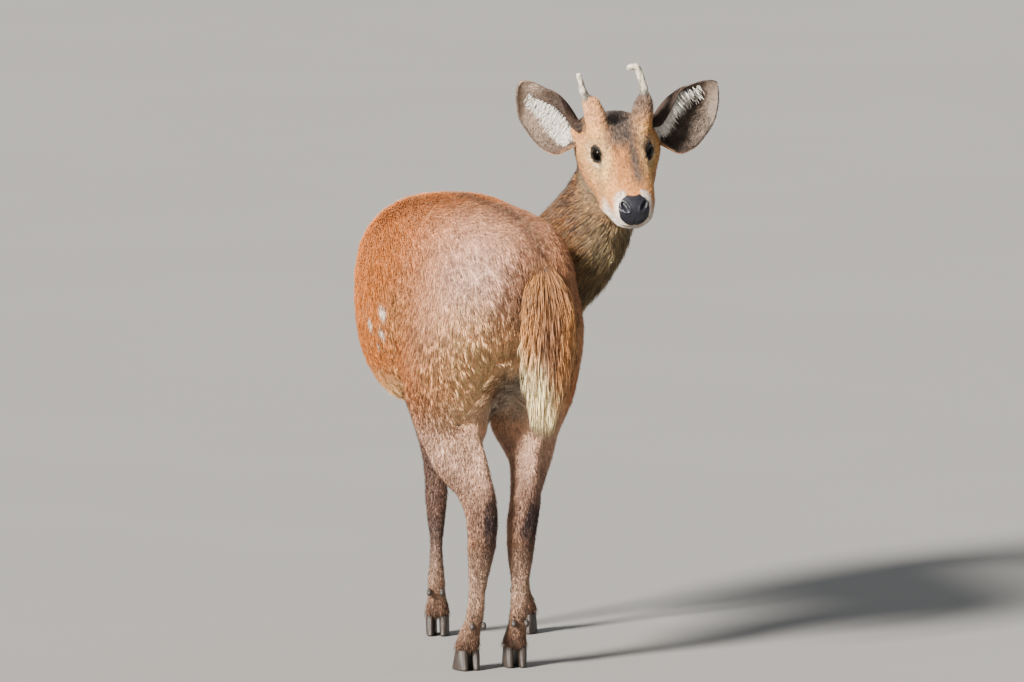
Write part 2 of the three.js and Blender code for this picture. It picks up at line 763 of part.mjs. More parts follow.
// The tail: a dock that hangs from the rump, and long flat locks on it
const TAIL_FRAME = frameAt(at(0, 0, 0), PELVIS.heading * 0.5);
const DOCK = [
  [0, 52, 588, 14, 12],
  [0, 24, 584, 15, 12],
  [1, -2, 570, 15, 10],
  [4, -15, 537, 16, 9],
  [8, -19, 490, 17, 9],
  [10, -21, 440, 15, 8],
  [11, -22, 395, 9, 6],
];

function dockGeometry(grown) {
  const path = new THREE.CatmullRomCurve3(DOCK.map(([left, forward, up]) => at(left, forward, up)));
  const count = 12;
  const rings = [];
  for (let i = 0; i <= count; i++) {
    const t = i / count;
    const row = Math.min(Math.floor(t * (DOCK.length - 1)), DOCK.length - 2);
    const part = t * (DOCK.length - 1) - row;
    const half = THREE.MathUtils.lerp(DOCK[row][3], DOCK[row + 1][3], part) + grown;
    const thick = THREE.MathUtils.lerp(DOCK[row][4], DOCK[row + 1][4], part) + grown;
    const across = at(1, 0, 0);
    const rise = path.getTangent(t).cross(across).multiplyScalar(thick);
    rings.push(ringAt(path.getPoint(t), across.multiplyScalar(half), rise, 10));
  }
  return loft(rings);
}

// Locks hang from the dock in rows: each leaves it at its own height and place across, sweeps outward a
// little and ends in a point
const LOCKS = { rows: 4, across: 4, sections: 4, half: 10.5, thick: 5, splay: 15, shortest: 76, longest: 100 };

function lockGeometry(row, place, face) {
  const { rows, sections, half, thick, splay } = LOCKS;
  const share = (row + 0.5 * face) / rows;
  const wave = Math.sin(row * 2.3 + place * 4.1 + face * 1.7);
  const length = THREE.MathUtils.lerp(LOCKS.shortest, LOCKS.longest, 0.5 + 0.5 * wave);
  const start = THREE.MathUtils.lerp(552, 424, share);
  const depth = face ? -13 : -27;
  const rings = [];
  for (let i = 0; i <= sections; i++) {
    const t = i / sections;
    const spread = place * (10 + splay * Math.sin(t * 2.1)) + 2.5 * wave * t;
    const away = (face ? 3 : -10) * Math.sin(t * 1.9);
    const centre = at(8 + spread, depth + away, start - length * t);
    const width = half * (1 - 0.93 * t ** 2.2);
    const turn = place * 0.5;
    const across = at(Math.cos(turn), Math.sin(turn), 0).multiplyScalar(width);
    const rise = at(-Math.sin(turn), Math.cos(turn), 0).multiplyScalar((thick / 2) * (1 - 0.85 * t ** 2));
    rings.push(ringAt(centre, across, rise, 4));
  }
  return loft(rings);
}

function tailSolid(roomy) {
  const dock = placed(dockGeometry(0), TAIL_FRAME);
  const locks = [];
  for (const face of [0, 1])
    for (let row = 0; row < LOCKS.rows; row++)
      for (let column = 0; column < LOCKS.across - face; column++) {
        const place = (column / (LOCKS.across - face - 1)) * 2 - 1;
        locks.push(placed(lockGeometry(row, place * 0.95, face), TAIL_FRAME).subtract(roomy));
      }
  return largest(locks.reduce((solid, lock) => solid.add(lock), dock));
}

// The model

const group = new THREE.Group();
const finish = (color, roughness) => new THREE.MeshStandardMaterial({ color, roughness, metalness: 0 });
const MATERIALS = {
  coat: finish(0x9a5f38, 0.85),
  face: finish(0xb98253, 0.85),
  legs: finish(0x5b4234, 0.85),
  horn: finish(0x2a2523, 0.5),
  antler: finish(0xcbbfae, 0.6),
  nose: finish(0x1c1b20, 0.35),
  eye: finish(0x0c0a09, 0.08),
  tail: finish(0xc39a6c, 0.9),
};

function addNode(name, solid, material) {
  const mesh = new THREE.Mesh(geometryOf(solid), MATERIALS[material]);
  mesh.name = name;
  group.add(mesh);
}

function addLeg(kind, name) {
  const frame = legFrame(kind, name);
  const field = legged[kind + name];
  const { below, shank, cannon, foot } = lowerRegion[kind + name];
  const prefix = kind + "_" + name + "_";
  const words = { hind: ["thigh", "shank"], fore: ["shoulder", "forearm"] }[kind];
  const dewclaw = (side, grown) => placed(dewclawGeometry(kind, side, grown), frame);
  const claws = pair((side) => dewclaw(side, GAP));
  addNode(prefix + words[0], carve(field, CELL.upperLeg, upperRegion[kind + name], [below]), "coat");
  addNode(prefix + words[1], carve(field, CELL.lowerLeg, shank), "legs");
  addNode(prefix + "cannon", carve(field, CELL.cannon, cannon), "legs");
  addNode(prefix + "foot", cutBy(carve(field, CELL.foot, foot), claws), "legs");
  for (const [place, side] of Object.entries(SIDES)) {
    const hoof = clawGeometry(side).translate(0, -HOOF_FORWARD[kind], 0);
    addNode(prefix + "hoof_" + place, placed(hoof, frame), "horn");
    addNode(prefix + "dewclaw_" + place, dewclaw(side, 0), "horn");
  }
}

function addTorso() {
  const limbs = Object.values(upperRegion);
  const dock = placed(dockGeometry(GAP), TAIL_FRAME);
  addNode("rump", carve(body, CELL.torso, behind, limbs).subtract(dock), "coat");
  addNode("chest", carve(body, CELL.torso, ahead, [...limbs, neckRegion]), "coat");
  addNode("neck", carve(neckAndHead, CELL.neck, neckRegion, [headRegion, ...limbs]), "coat");
  const grownBody = (x, y, z) => body(x, y, z) - 1.5;
  const nearTail = region(TAIL_FRAME, rectangle([-60, 60], [320, 620]), [-110, 70]);
  addNode("tail", tailSolid(carve(grownBody, 14, nearTail)), "tail");
}

function addHead() {
  const names = Object.keys(SIDES);
  const inHead = (geometry) => placed(geometry, HEAD_FRAME);
  const cuts = names.flatMap((name) => [
    inHead(earGeometry(name, GAP)),
    inHead(rod(ANTLERS[name], GAP)),
    inHead(eyeGeometry(SIDES[name], GAP)),
    lidOpening(SIDES[name]),
  ]);
  const flesh = carve(neckAndHead, CELL.head, headRegion, [noseRegion]);
  addNode("head", largest(cutBy(flesh, [...cuts, mouthLine()])), "face");
  const nostrils = pair((side) => inHead(nostrilGeometry(side)));
  addNode("nose_pad", largest(cutBy(carve(neckAndHead, CELL.nose, noseRegion), nostrils)), "nose");
  for (const name of names) {
    addNode("eye_" + name, inHead(eyeGeometry(SIDES[name], 0)), "eye");
    addNode("ear_" + name, placed(earGeometry(name, 0), HEAD_FRAME), "face");
    addNode("antler_" + name, placed(rod(ANTLERS[name], 0), HEAD_FRAME), "antler");
  }
}

for (const kind of ["hind", "fore"]) for (const name of Object.keys(SIDES)) addLeg(kind, name);
addTorso();
addHead();

// The origin goes to the middle of the footprint, on the floor
const box = new THREE.Box3().setFromObject(group);
group.position.set(-(box.min.x + box.max.x) / 2, -(box.min.y + box.max.y) / 2, -box.min.z);

export default group;
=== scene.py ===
import json
import math

import bmesh
import bpy
import numpy as np
from mathutils import Matrix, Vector
from mathutils.bvhtree import BVHTree
from mathutils.kdtree import KDTree

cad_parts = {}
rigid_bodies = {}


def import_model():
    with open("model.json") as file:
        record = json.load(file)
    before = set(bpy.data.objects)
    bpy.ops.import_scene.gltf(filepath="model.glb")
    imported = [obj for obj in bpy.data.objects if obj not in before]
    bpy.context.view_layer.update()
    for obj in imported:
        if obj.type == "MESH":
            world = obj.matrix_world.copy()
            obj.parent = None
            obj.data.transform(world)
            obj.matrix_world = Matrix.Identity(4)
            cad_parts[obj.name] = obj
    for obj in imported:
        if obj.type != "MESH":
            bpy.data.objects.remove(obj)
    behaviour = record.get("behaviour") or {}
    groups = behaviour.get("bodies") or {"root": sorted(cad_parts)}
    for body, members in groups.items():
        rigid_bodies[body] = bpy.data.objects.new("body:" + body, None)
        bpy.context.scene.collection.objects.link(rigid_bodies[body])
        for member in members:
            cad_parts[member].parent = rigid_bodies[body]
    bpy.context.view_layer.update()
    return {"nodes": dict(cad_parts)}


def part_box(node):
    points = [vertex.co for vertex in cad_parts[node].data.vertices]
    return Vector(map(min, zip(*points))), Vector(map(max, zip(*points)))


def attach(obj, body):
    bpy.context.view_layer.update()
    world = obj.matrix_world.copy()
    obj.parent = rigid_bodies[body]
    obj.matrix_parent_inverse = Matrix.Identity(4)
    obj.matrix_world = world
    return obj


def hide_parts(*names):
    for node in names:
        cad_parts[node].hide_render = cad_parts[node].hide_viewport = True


for leftover in list(bpy.data.objects):
    bpy.data.objects.remove(leftover)
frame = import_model()

# A young hog deer stag in its coat, in metres, with +Z up and the pelvis facing roughly -Y.
# Sizes of the animal are written in millimetres as (left, forward, up) and go through place().
MM = 0.001
RANDOM_SEED = 719

# The head's place and turn, the eyes and the spine, as in the solids
HEAD_PLACE = (-208, 551, 686)
HEAD_TURN = {"heading": 179.5, "nod": 31.5, "roll": -3}
EYE = {"apart": 31, "radius": 13, "turn": 44, "lift": 14, "tilt": 14, "long": 13.4, "high": 8.3}
PELVIS = {"length": 170, "heading": 17}
BACK = {"length": 350, "bend": 44}
SIDES = {"left": 1, "right": -1}


def unit(v):
    """Vectors of length one, along the last axis."""
    v = np.asarray(v, float)
    return v / np.maximum(np.linalg.norm(v, axis=-1, keepdims=True), 1e-9)


def ramp(x, low, high):
    """Rises smoothly from 0 at low to 1 at high."""
    t = np.clip((x - low) / (high - low), 0, 1)
    return t * t * (3 - 2 * t)


def fall(x, low, high):
    """Falls smoothly from 1 at low to 0 at high."""
    return 1 - ramp(x, low, high)


def bump(x, middle, width):
    """A bell of height 1 round a middle."""
    return np.exp(-(((x - middle) / width) ** 2))


def blob(places, middle, sizes):
    """A soft blob of height 1 round a place, with a size along each axis."""
    return np.exp(-((((places - middle) / np.asarray(sizes, float)) ** 2).sum(-1)))


def eye_midpoint():
    corners = [np.array(corner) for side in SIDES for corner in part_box("eye_" + side)]
    return np.mean(corners, axis=0)


SHIFT = eye_midpoint() - np.array([HEAD_PLACE[0], -HEAD_PLACE[1], HEAD_PLACE[2]]) * MM


def place(points):
    """Points written as (left, forward, up) in millimetres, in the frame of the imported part."""
    return np.asarray(points, float) * [MM, -MM, MM] + SHIFT


def placed_back(points):
    """The opposite of place()."""
    return (points - SHIFT) / [MM, -MM, MM]


def turning(axis, angle):
    """The matrix of a turn about x, y or z, in degrees."""
    c, s = math.cos(math.radians(angle)), math.sin(math.radians(angle))
    return np.array(
        {
            "x": [[1, 0, 0], [0, c, -s], [0, s, c]],
            "y": [[c, 0, s], [0, 1, 0], [-s, 0, c]],
            "z": [[c, -s, 0], [s, c, 0], [0, 0, 1]],
        }[axis]
    )


HEAD_AXES = (
    turning("z", HEAD_TURN["heading"]) @ turning("x", HEAD_TURN["nod"]) @ turning("y", HEAD_TURN["roll"])
)


def in_head(points):
    """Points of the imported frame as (left, forward, up) in the head, from midway between the eyes."""
    return ((points - place(HEAD_PLACE)) @ HEAD_AXES) / [MM, -MM, MM]


def from_head(points):
    """The opposite of in_head(), for any array of points."""
    return (np.asarray(points, float) * [MM, -MM, MM]) @ HEAD_AXES.T + place(HEAD_PLACE)


def turned_by_head(directions):
    """Directions written as (left, forward, up) of the head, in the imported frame."""
    return unit((np.asarray(directions, float) * [1, -1, 1]) @ HEAD_AXES.T)


def spine_at(along):
    """The spine's place on the plan, and its heading in radians, at a distance from the tail's root."""
    bend = math.radians(BACK["bend"])
    start = math.radians(PELVIS["heading"])
    radius = BACK["length"] / bend
    heading = start - min(max(along - PELVIS["length"], 0), BACK["length"]) / radius
    straight = min(along, PELVIS["length"])
    beyond = max(along - PELVIS["length"] - BACK["length"], 0)
    aside, ahead = math.cos(heading) - math.cos(start), math.sin(start) - math.sin(heading)
    left = straight * math.sin(start) + radius * aside + beyond * math.sin(heading)
    forward = straight * math.cos(start) + radius * ahead + beyond * math.cos(heading)
    return left, forward, heading


def through(stations, count):
    """Rows read off a smooth curve through stations of any width, evenly spaced from station to station."""
    rows = np.asarray(stations, float)
    ends = np.vstack([2 * rows[0] - rows[1], rows, 2 * rows[-1] - rows[-2]])
    t = np.linspace(0, len(rows) - 1, count)
    i = np.minimum(t.astype(int), len(rows) - 2)
    u = (t - i)[:, None]
    a, b, c, d = (ends[i + k] for k in range(4))
    return 0.5 * (2 * b + (c - a) * u + (2 * a - 5 * b + 4 * c - d) * u**2 + (3 * b - a - 3 * c + d) * u**3)


# The camera stands where the photograph was taken from, on the animal's tail side, with a long lens.
# The floor under the tail's root shows at FLOOR_PIXEL.
PHOTO = {"width": 1024, "height": 682, "pixels_per_metre": 715}
FLOOR_PIXEL = (546, 683)
VIEW = {"azimuth": 170, "elevation": 6.5, "distance": 30}
SENSOR = 36

# The low warm sun on the camera's left, with angles in degrees, the light all round, and the floor
SUN = {"energy": 16, "colour": (1.0, 0.955, 0.89), "width": 12, "tilt": 63, "azimuth": 130}
SKY = {"colour": (0.9, 0.95, 1.0, 1), "strength": 0.45}
FLOOR = {"size": 400, "dark": "#83817e", "pale": "#8a8885"}


def add_object(name, data):
    """An object of the scene that holds a mesh, a camera or a lamp."""
    thing = bpy.data.objects.new(name, data)
    bpy.context.scene.collection.objects.link(thing)
    return thing


def make_camera():
    turn, rise = math.radians(VIEW["azimuth"]), math.radians(VIEW["elevation"])
    back = np.array([math.sin(turn) * math.cos(rise), -math.cos(turn) * math.cos(rise), math.sin(rise)])
    right = np.array([math.cos(turn), math.sin(turn), 0])
    up = np.cross(back, right)
    aside = (PHOTO["width"] / 2 - FLOOR_PIXEL[0]) / PHOTO["pixels_per_metre"]
    above = (FLOOR_PIXEL[1] - PHOTO["height"] / 2) / PHOTO["pixels_per_metre"]
    data = bpy.data.cameras.new("camera")
    data.sensor_width = SENSOR
    data.lens = SENSOR * VIEW["distance"] * PHOTO["pixels_per_metre"] / PHOTO["width"]
    data.clip_end = 10 * VIEW["distance"]
    camera = add_object("camera", data)
    camera.location = place((0, 0, 0)) + right * aside + up * above + back * VIEW["distance"]
    camera.rotation_mode = "QUATERNION"
    camera.rotation_quaternion = Matrix(np.column_stack([right, up, back]).tolist()).to_quaternion()
    bpy.context.scene.camera = camera


# Materials


def linear(text):
    """A colour written as a web colour, as linear light."""
    values = np.array([int(text[i : i + 2], 16) for i in (1, 3, 5)]) / 255
    return np.where(values <= 0.04045, values / 12.92, ((values + 0.055) / 1.055) ** 2.4)


def new_material(name, roughness, **sockets):
    """A material with one principled shader. Sockets are that shader's inputs, by name."""
    material = bpy.data.materials.new(name)
    material.use_nodes = True
    shader = material.node_tree.nodes["Principled BSDF"]
    shader.inputs["Roughness"].default_value = roughness
    for socket, value in sockets.items():
        shader.inputs[socket.replace("_", " ")].default_value = value
    return material


def node_in(material, kind, links=(), **values):
    """A node of a material. Values set its inputs or its own settings by name, and links feed its inputs."""
    node = material.node_tree.nodes.new(kind)
    for key, value in values.items():
        name = key.replace("_", " ")
        if name in node.inputs:
            node.inputs[name].default_value = value
        else:
            setattr(node, key, value)
    for name, socket in links:
        material.node_tree.links.new(socket, node.inputs[name])
    return node


def feed(material, socket, source):
    material.node_tree.links.new(source, material.node_tree.nodes["Principled BSDF"].inputs[socket])


def add_bump(material, height, strength, distance):
    node = node_in(material, "ShaderNodeBump", [("Height", height)], Strength=strength, Distance=distance)
    feed(material, "Normal", node.outputs["Normal"])


def object_noise(material, scale, detail=3.0, stretch=(1, 1, 1)):
    """Noise that is fixed to the object. Its scale is counted per metre."""
    coordinates = node_in(material, "ShaderNodeTexCoord")
    links = [("Vector", coordinates.outputs["Object"])]
    mapping = node_in(material, "ShaderNodeMapping", links, Scale=stretch)
    links = [("Vector", mapping.outputs["Vector"])]
    return node_in(material, "ShaderNodeTexNoise", links, Scale=scale, Detail=detail)


def scaled(material, colour, factor):
    """A colour times a number, both of them sockets."""
    node = node_in(material, "ShaderNodeVectorMath", [("Vector", colour)], operation="SCALE")
    material.node_tree.links.new(factor, node.inputs["Scale"])
    return node.outputs["Vector"]


def between(material, noise, low, high, reach=(0.32, 0.68)):
    """Noise spread from a low to a high value. The reach is the part of the noise that is spread."""
    links = [("Value", noise.outputs["Fac"])]
    spread = {"From_Min": reach[0], "From_Max": reach[1], "To_Min": low, "To_Max": high}
    return node_in(material, "ShaderNodeMapRange", links, **spread).outputs["Result"]


def clouded(material, noise, dark, pale):
    """A base colour that noise varies between two web colours."""
    tone = node_in(material, "ShaderNodeValToRGB", [("Fac", noise.outputs["Fac"])])
    for stop, colour in zip(tone.color_ramp.elements, (dark, pale)):
        stop.color = (*linear(colour), 1)
    feed(material, "Base Color", tone.outputs["Color"])


def marked_colour(material):
    """The colour of the markings, as each mesh carries it."""
    return node_in(material, "ShaderNodeAttribute", attribute_name="coat_colour").outputs["Color"]


# Fine and broad noise that makes hair darker and lighter: scale, darkest and lightest factor
HAIR_NOISE = [(260, 0.74, 1.26), (36, 0.88, 1.12)]


def varied_colour(material):
    """The markings' colour, made darker and lighter by the hair's noise."""
    colour = marked_colour(material)
    for scale, low, high in HAIR_NOISE:
        colour = scaled(material, colour, between(material, object_noise(material, scale), low, high))
    feed(material, "Base Color", colour)


def coat_material():
    material = new_material("hair", 0.5, Specular_IOR_Level=0.3, Sheen_Weight=0.04, Sheen_Roughness=0.4)
    varied_colour(material)
    return material


def skin_material():
    """Hide under the coat, and the bare wet skin of the nose, where the attribute "bare" is 1."""
    material = new_material("skin", 0.6, Specular_IOR_Level=0.32)
    varied_colour(material)
    bare = node_in(material, "ShaderNodeAttribute", attribute_name="bare")
    links = [("Value", bare.outputs["Fac"])]
    rough = node_in(material, "ShaderNodeMapRange", links, To_Min=0.75, To_Max=0.42)
    feed(material, "Roughness", rough.outputs["Result"])
    coordinates = node_in(material, "ShaderNodeTexCoord")
    links = [("Vector", coordinates.outputs["Object"])]
    pebbles = node_in(material, "ShaderNodeTexVoronoi", links, Scale=620.0)
    add_bump(material, pebbles.outputs["Distance"], 0.35, 0.0006)
    return material


def antler_material():
    """Weathered bone: ivory, with dark grey streaks along the beam."""
    material = new_material("antler", 0.5)
    streaks = object_noise(material, 190, 4.0, (1, 1, 0.3))
    tone = between(material, streaks, 0.3, 1.0, (0.4, 0.58))
    feed(material, "Base Color", scaled(material, marked_colour(material), tone))
    add_bump(material, streaks.outputs["Fac"], 0.6, 0.0009)
    return material


def horn_material():
    """Dark horn with fine growth rings across it."""
    material = new_material("horn", 0.42)
    clouded(material, object_noise(material, 60, 4.0), "#14100e", "#42372f")
    waves = {"bands_direction": "Z", "Scale": 110.0, "Distortion": 2.0, "Detail": 2.0}
    rings = node_in(material, "ShaderNodeTexWave", **waves)
    add_bump(material, rings.outputs["Fac"], 0.35, 0.0006)
    return material


def eye_material():
    """A dark brown iris with a broad black pupil under a wet cornea."""
    material = new_material("eye", 0.1, Specular_IOR_Level=0.06, Coat_Weight=0.05, Coat_Roughness=0.03)
    clouds = between(material, object_noise(material, 300), 0.8, 1.2)
    feed(material, "Base Color", scaled(material, marked_colour(material), clouds))
    return material


MATERIALS = {
    "coat": coat_material(),
    "skin": skin_material(),
    "antler": antler_material(),
    "horn": horn_material(),
    "eye": eye_material(),
}


def make_stage():
    """A grey floor, a low warm sun on the camera's left, and pale light all round."""
    bpy.ops.mesh.primitive_plane_add(size=FLOOR["size"])
    floor = bpy.context.active_object
    floor.name = "floor"
    material = new_material("floor", 0.9)
    clouded(material, object_noise(material, 1.5, 5.0), FLOOR["dark"], FLOOR["pale"])
    floor.data.materials.append(material)

    key = bpy.data.lights.new("key", "SUN")
    key.energy = SUN["energy"]
    key.color = SUN["colour"]
    key.angle = math.radians(SUN["width"])
    lamp = add_object("key", key)
    lamp.rotation_euler = (math.radians(SUN["tilt"]), 0, math.radians(SUN["azimuth"]))

    world = bpy.data.worlds.new("studio")
    world.use_nodes = True
    background = world.node_tree.nodes["Background"]
    background.inputs["Color"].default_value = SKY["colour"]
    background.inputs["Strength"].default_value = SKY["strength"]
    bpy.context.scene.world = world


# Meshes to and from arrays


def rows_of(items, key, width, kind=np.float32):
    """An array with a row of values for each item of a mesh."""
    values = np.empty(width * len(items), kind)
    items.foreach_get(key, values)
    return values.reshape(-1, width)


def points_of(mesh):
    return rows_of(mesh.vertices, "co", 3).astype(float)


def put_points(mesh, points):
    mesh.vertices.foreach_set("co", np.asarray(points, np.float32).ravel())
    mesh.update()


def normals_of(mesh):
    return rows_of(mesh.vertex_normals, "vector", 3).astype(float)


def edges_of(mesh):
    return rows_of(mesh.edges, "vertices", 2, np.int32)


def triangles_of(mesh):
    """Corner vertices, and corner loops, of the mesh's triangles."""
    mesh.calc_loop_triangles()
    return tuple(rows_of(mesh.loop_triangles, key, 3, np.int32) for key in ("vertices", "loops"))


def areas_of(points, corners):
    a, b, c = (points[corners[:, k]] for k in range(3))
    return np.linalg.norm(np.cross(b - a, c - a), axis=1) / 2


def mesh_from(name, points, faces):
    """An object from points and an array of faces that all have as many corners."""
    faces = np.asarray(faces, np.int32)
    mesh = bpy.data.meshes.new(name)
    mesh.vertices.add(len(points))
    mesh.vertices.foreach_set("co", np.asarray(points, np.float32).ravel())
    mesh.loops.add(faces.size)
    mesh.loops.foreach_set("vertex_index", faces.ravel())
    mesh.polygons.add(len(faces))
    mesh.polygons.foreach_set("loop_start", np.arange(0, faces.size, faces.shape[1], dtype=np.int32))
    mesh.update(calc_edges=True)
    mesh.shade_smooth()
    return add_object(name, mesh)


def set_colours(mesh, colours):
    layer = mesh.color_attributes.new("coat_colour", "FLOAT_COLOR", "POINT")
    values = np.column_stack([np.clip(colours, 0, 1), np.ones(len(colours))])
    layer.data.foreach_set("color", values.astype(np.float32).ravel())


def set_bare(mesh, bare):
    layer = mesh.attributes.new("bare", "FLOAT", "POINT")
    layer.data.foreach_set("value", np.asarray(bare, np.float32))


def set_uv(mesh, values):
    """The map that colours are baked on, from one pair of values for each loop."""
    layer = mesh.uv_layers.new(name="OFBake")
    layer.uv.foreach_set("vector", np.asarray(values, np.float32).ravel())


def uv_of(mesh):
    return rows_of(mesh.uv_layers["OFBake"].uv, "vector", 2).astype(float)


def finish_piece(piece, material, replaced=()):
    """Gives a piece its material and body, and hides the nodes that it replaces."""
    piece.data.materials.clear()
    piece.data.materials.append(MATERIALS[material])
    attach(piece, "root")
    if replaced:
        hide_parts(*replaced)


def relax(values, edges, share, rounds):
    """Values at vertices drawn towards the mean of their neighbours' values."""
    values = values.copy()
    count = len(values)
    near = np.maximum(np.bincount(edges.ravel(), minlength=count), 1)[:, None]
    a, b = edges.T
    for _ in range(rounds):
        total = np.column_stack(
            [np.bincount(a, row[b], count) + np.bincount(b, row[a], count) for row in values.T]
        )
        values += share * (total / near - values)
    return values


def rings_mesh(name, rings):
    """A tube from rings of as many points each, with a flat cap on both ends."""
    rows, around, _ = rings.shape
    i, j = np.meshgrid(np.arange(rows - 1), np.arange(around), indexing="ij")
    k = (j + 1) % around
    quads = np.stack([i * around + j, i * around + k, (i + 1) * around + k, (i + 1) * around + j], -1)
    caps = [list(range(around))[::-1], [(rows - 1) * around + n for n in range(around)]]
    mesh = bpy.data.meshes.new(name)
    mesh.from_pydata(rings.reshape(-1, 3).tolist(), [], quads.reshape(-1, 4).tolist() + caps)
    work = bmesh.new()
    work.from_mesh(mesh)
    bmesh.ops.recalc_face_normals(work, faces=work.faces)
    work.to_mesh(mesh)
    work.free()
    mesh.shade_smooth()
    return add_object(name, mesh)


def all_round(count):
    """Angles spaced evenly round a circle."""
    return np.linspace(0, 2 * math.pi, count, endpoint=False)


def round_rod(path, across, radii, sides=20):
    """Rings round a path. The radii are one for each row, to the side and in depth."""
    along = unit(np.gradient(path, axis=0))
    side = unit(across - along * (along @ across)[:, None])
    rise = np.cross(along, side)
    angle = all_round(sides)
    wide, deep = np.asarray(radii, float).T
    return (
        path[:, None]
        + (side * wide[:, None])[:, None] * np.cos(angle)[None, :, None]
        + (rise * deep[:, None])[:, None] * np.sin(angle)[None, :, None]
    )


def on_side(places, side):
    """Places or directions of the animal's left, mirrored where the side is -1."""
    return np.array(places) * [side, 1, 1]


def eye_middle(side):
    return np.array([side * EYE["apart"], 0, 0])


# The zones of the body. For each: the coat's depth, which is how far the hide lies inside the
# solids, how much the solids' facets are smoothed, a tuft's length, half width and lift, how
# densely tufts stand, how far their tips draw together in clumps, and how much their tone varies
ZONE_KEYS = ("depth", "smooth", "length", "half", "lift", "dense", "clump", "tone")
ZONES = {
    name: dict(zip(ZONE_KEYS, values))
    for name, values in {
        "torso": (3.6, 0.8, 14, 0.66, 0.2, 1, 0.25, 0.15),
        "neck": (4.2, 0.7, 17, 0.66, 0.23, 1.2, 0.35, 0.24),
        "thigh": (3.6, 0.6, 14, 0.64, 0.2, 1.1, 0.3, 0.15),
        "shank": (2.4, 0.3, 9, 0.5, 0.24, 1.6, 0.15, 0.13),
        "cannon": (1.6, 0.12, 7, 0.45, 0.24, 1.9, 0.15, 0.13),
        "head": (1.6, 0.2, 7.5, 0.44, 0.2, 3.4, 0.2, 0.2),
    }.items()
}
ZONE_NODES = {
    "torso": ["rump", "chest"],
    "neck": ["neck"],
    "thigh": ["thigh", "shoulder"],
    "shank": ["shank", "forearm"],
    "cannon": ["cannon", "foot"],
    "head": ["head", "nose_pad"],
}
FLESH = {
    node: zone
    for node in sorted(frame["nodes"])
    for zone, words in ZONE_NODES.items()
    if any(node == word or node.endswith("_" + word) for word in words)
}

# The size of the hide's first faces in millimetres, and how many rounds of smoothing they get
VOXEL = 4.0
SMOOTHING_ROUNDS = 25

# The dock inside the tail's hair: left, forward, up, and half sizes to the side and in depth
DOCK_TURN = PELVIS["heading"] / 2
DOCK = [
    (0, 52, 588, 14, 12),
    (0, 24, 584, 14, 11),
    (1, -2, 570, 13, 9),
    (4, -14, 537, 12, 8),
    (8, -17, 490, 10, 7),
    (10, -19, 440, 8, 5.5),
    (11, -20, 405, 4, 3),
]


def tail_place(points):
    """Points of the tail's own frame, which is turned half as far as the pelvis."""
    flat = np.asarray(points, float) * [1, -1, 1]
    return place((flat @ turning("z", DOCK_TURN).T) * [1, -1, 1])


def dock_rows(count):
    rows = through(DOCK, count)
    return tail_place(rows[:, :3]), rows[:, 3:] * MM


def ball_mesh(name, centre, radius):
    polar = np.linspace(-1.45, 1.45, 9)
    path = centre + np.outer(np.sin(polar) * radius, [0, 0, 1])
    radii = np.outer(np.cos(polar) * radius, [1, 1])
    return rings_mesh(name, round_rod(path, np.array([1.0, 0, 0]), radii, 16))


# Ears: the root, each one's tip, width and the painted shade of its inner face, darker on the left, and
# the way that they face.
# Sections from root to tip, as in the solids: how far along, half width, how far the outer and the
# inner half turn, how much the inner margin curls, thickness, and how far it hangs below the axis
EAR_ROOT = (49, -64, -10)
EARS = {
    "left": {"tip": (147, -97, 37), "wide": 0.93, "shade": 0.6},
    "right": {"tip": (-133, -97, 58), "wide": 0.85, "shade": 1},
}
EAR_FACING = (0.1, 0.78, 0.55)
EAR_SECTIONS = [
    (-0.06, 14, 150, 120, 30, 4, 2),
    (0.04, 26, 120, 80, 84, 3.8, 12),
    (0.12, 33.5, 92, 60, 118, 3.6, 19),
    (0.24, 39, 76, 50, 128, 3.2, 19),
    (0.38, 42, 66, 46, 112, 2.8, 17),
    (0.55, 40, 57, 44, 70, 2.6, 14),
    (0.72, 34, 50, 42, 30, 2.4, 12),
    (0.87, 23, 44, 40, 6, 2.2, 7),
    (0.97, 11, 40, 38, 0, 2, 3),
    (1.01, 4, 36, 36, 0, 1.6, 1),
]

# Where across a section the inner margin begins to curl, and the places along and across an ear
CURL_FROM = 0.25
EAR_ROWS = 64
EAR_ACROSS = 49

# Antlers: how many rings and sides they have, and stations of left, forward and up in the head, and
# the radius
ANTLER_ROWS = 90
ANTLER_SIDES = 36
ANTLERS = {
    "left": [
        (37, -47, 56, 6.4),
        (35, -53, 76, 5.4),
        (30, -59, 94, 5),
        (24, -61, 104, 5),
        (16, -61, 104, 4.2),
        (14, -60, 100, 2.2),
    ],
    "right": [
        (-43, -46, 56, 6),
        (-50, -52, 70, 5),
        (-54, -58, 82, 4.4),
        (-57, -63, 94, 3.6),
        (-57.5, -64, 96.5, 1.8),
    ],
}


def fillers():
    """Forms that close the holes that the eyes, ears, antlers and tail leave in the flesh."""
    path, radii = dock_rows(24)
    made = [rings_mesh("dock", round_rod(path, np.array([1.0, 0, 0]), radii))]
    for name, side in SIDES.items():
        root = on_side(EAR_ROOT, side)
        along = unit(np.array(EARS[name]["tip"]) - root)
        made.append(ball_mesh("shade_at_ear_root_" + name, from_head(root - 3 * along), 19 * MM))
        made.append(ball_mesh("pedicle_top_" + name, from_head(ANTLERS[name][0][:3]), 11 * MM))
        made.append(ball_mesh("socket_" + name, from_head(eye_middle(side)), 14 * MM))
    return made


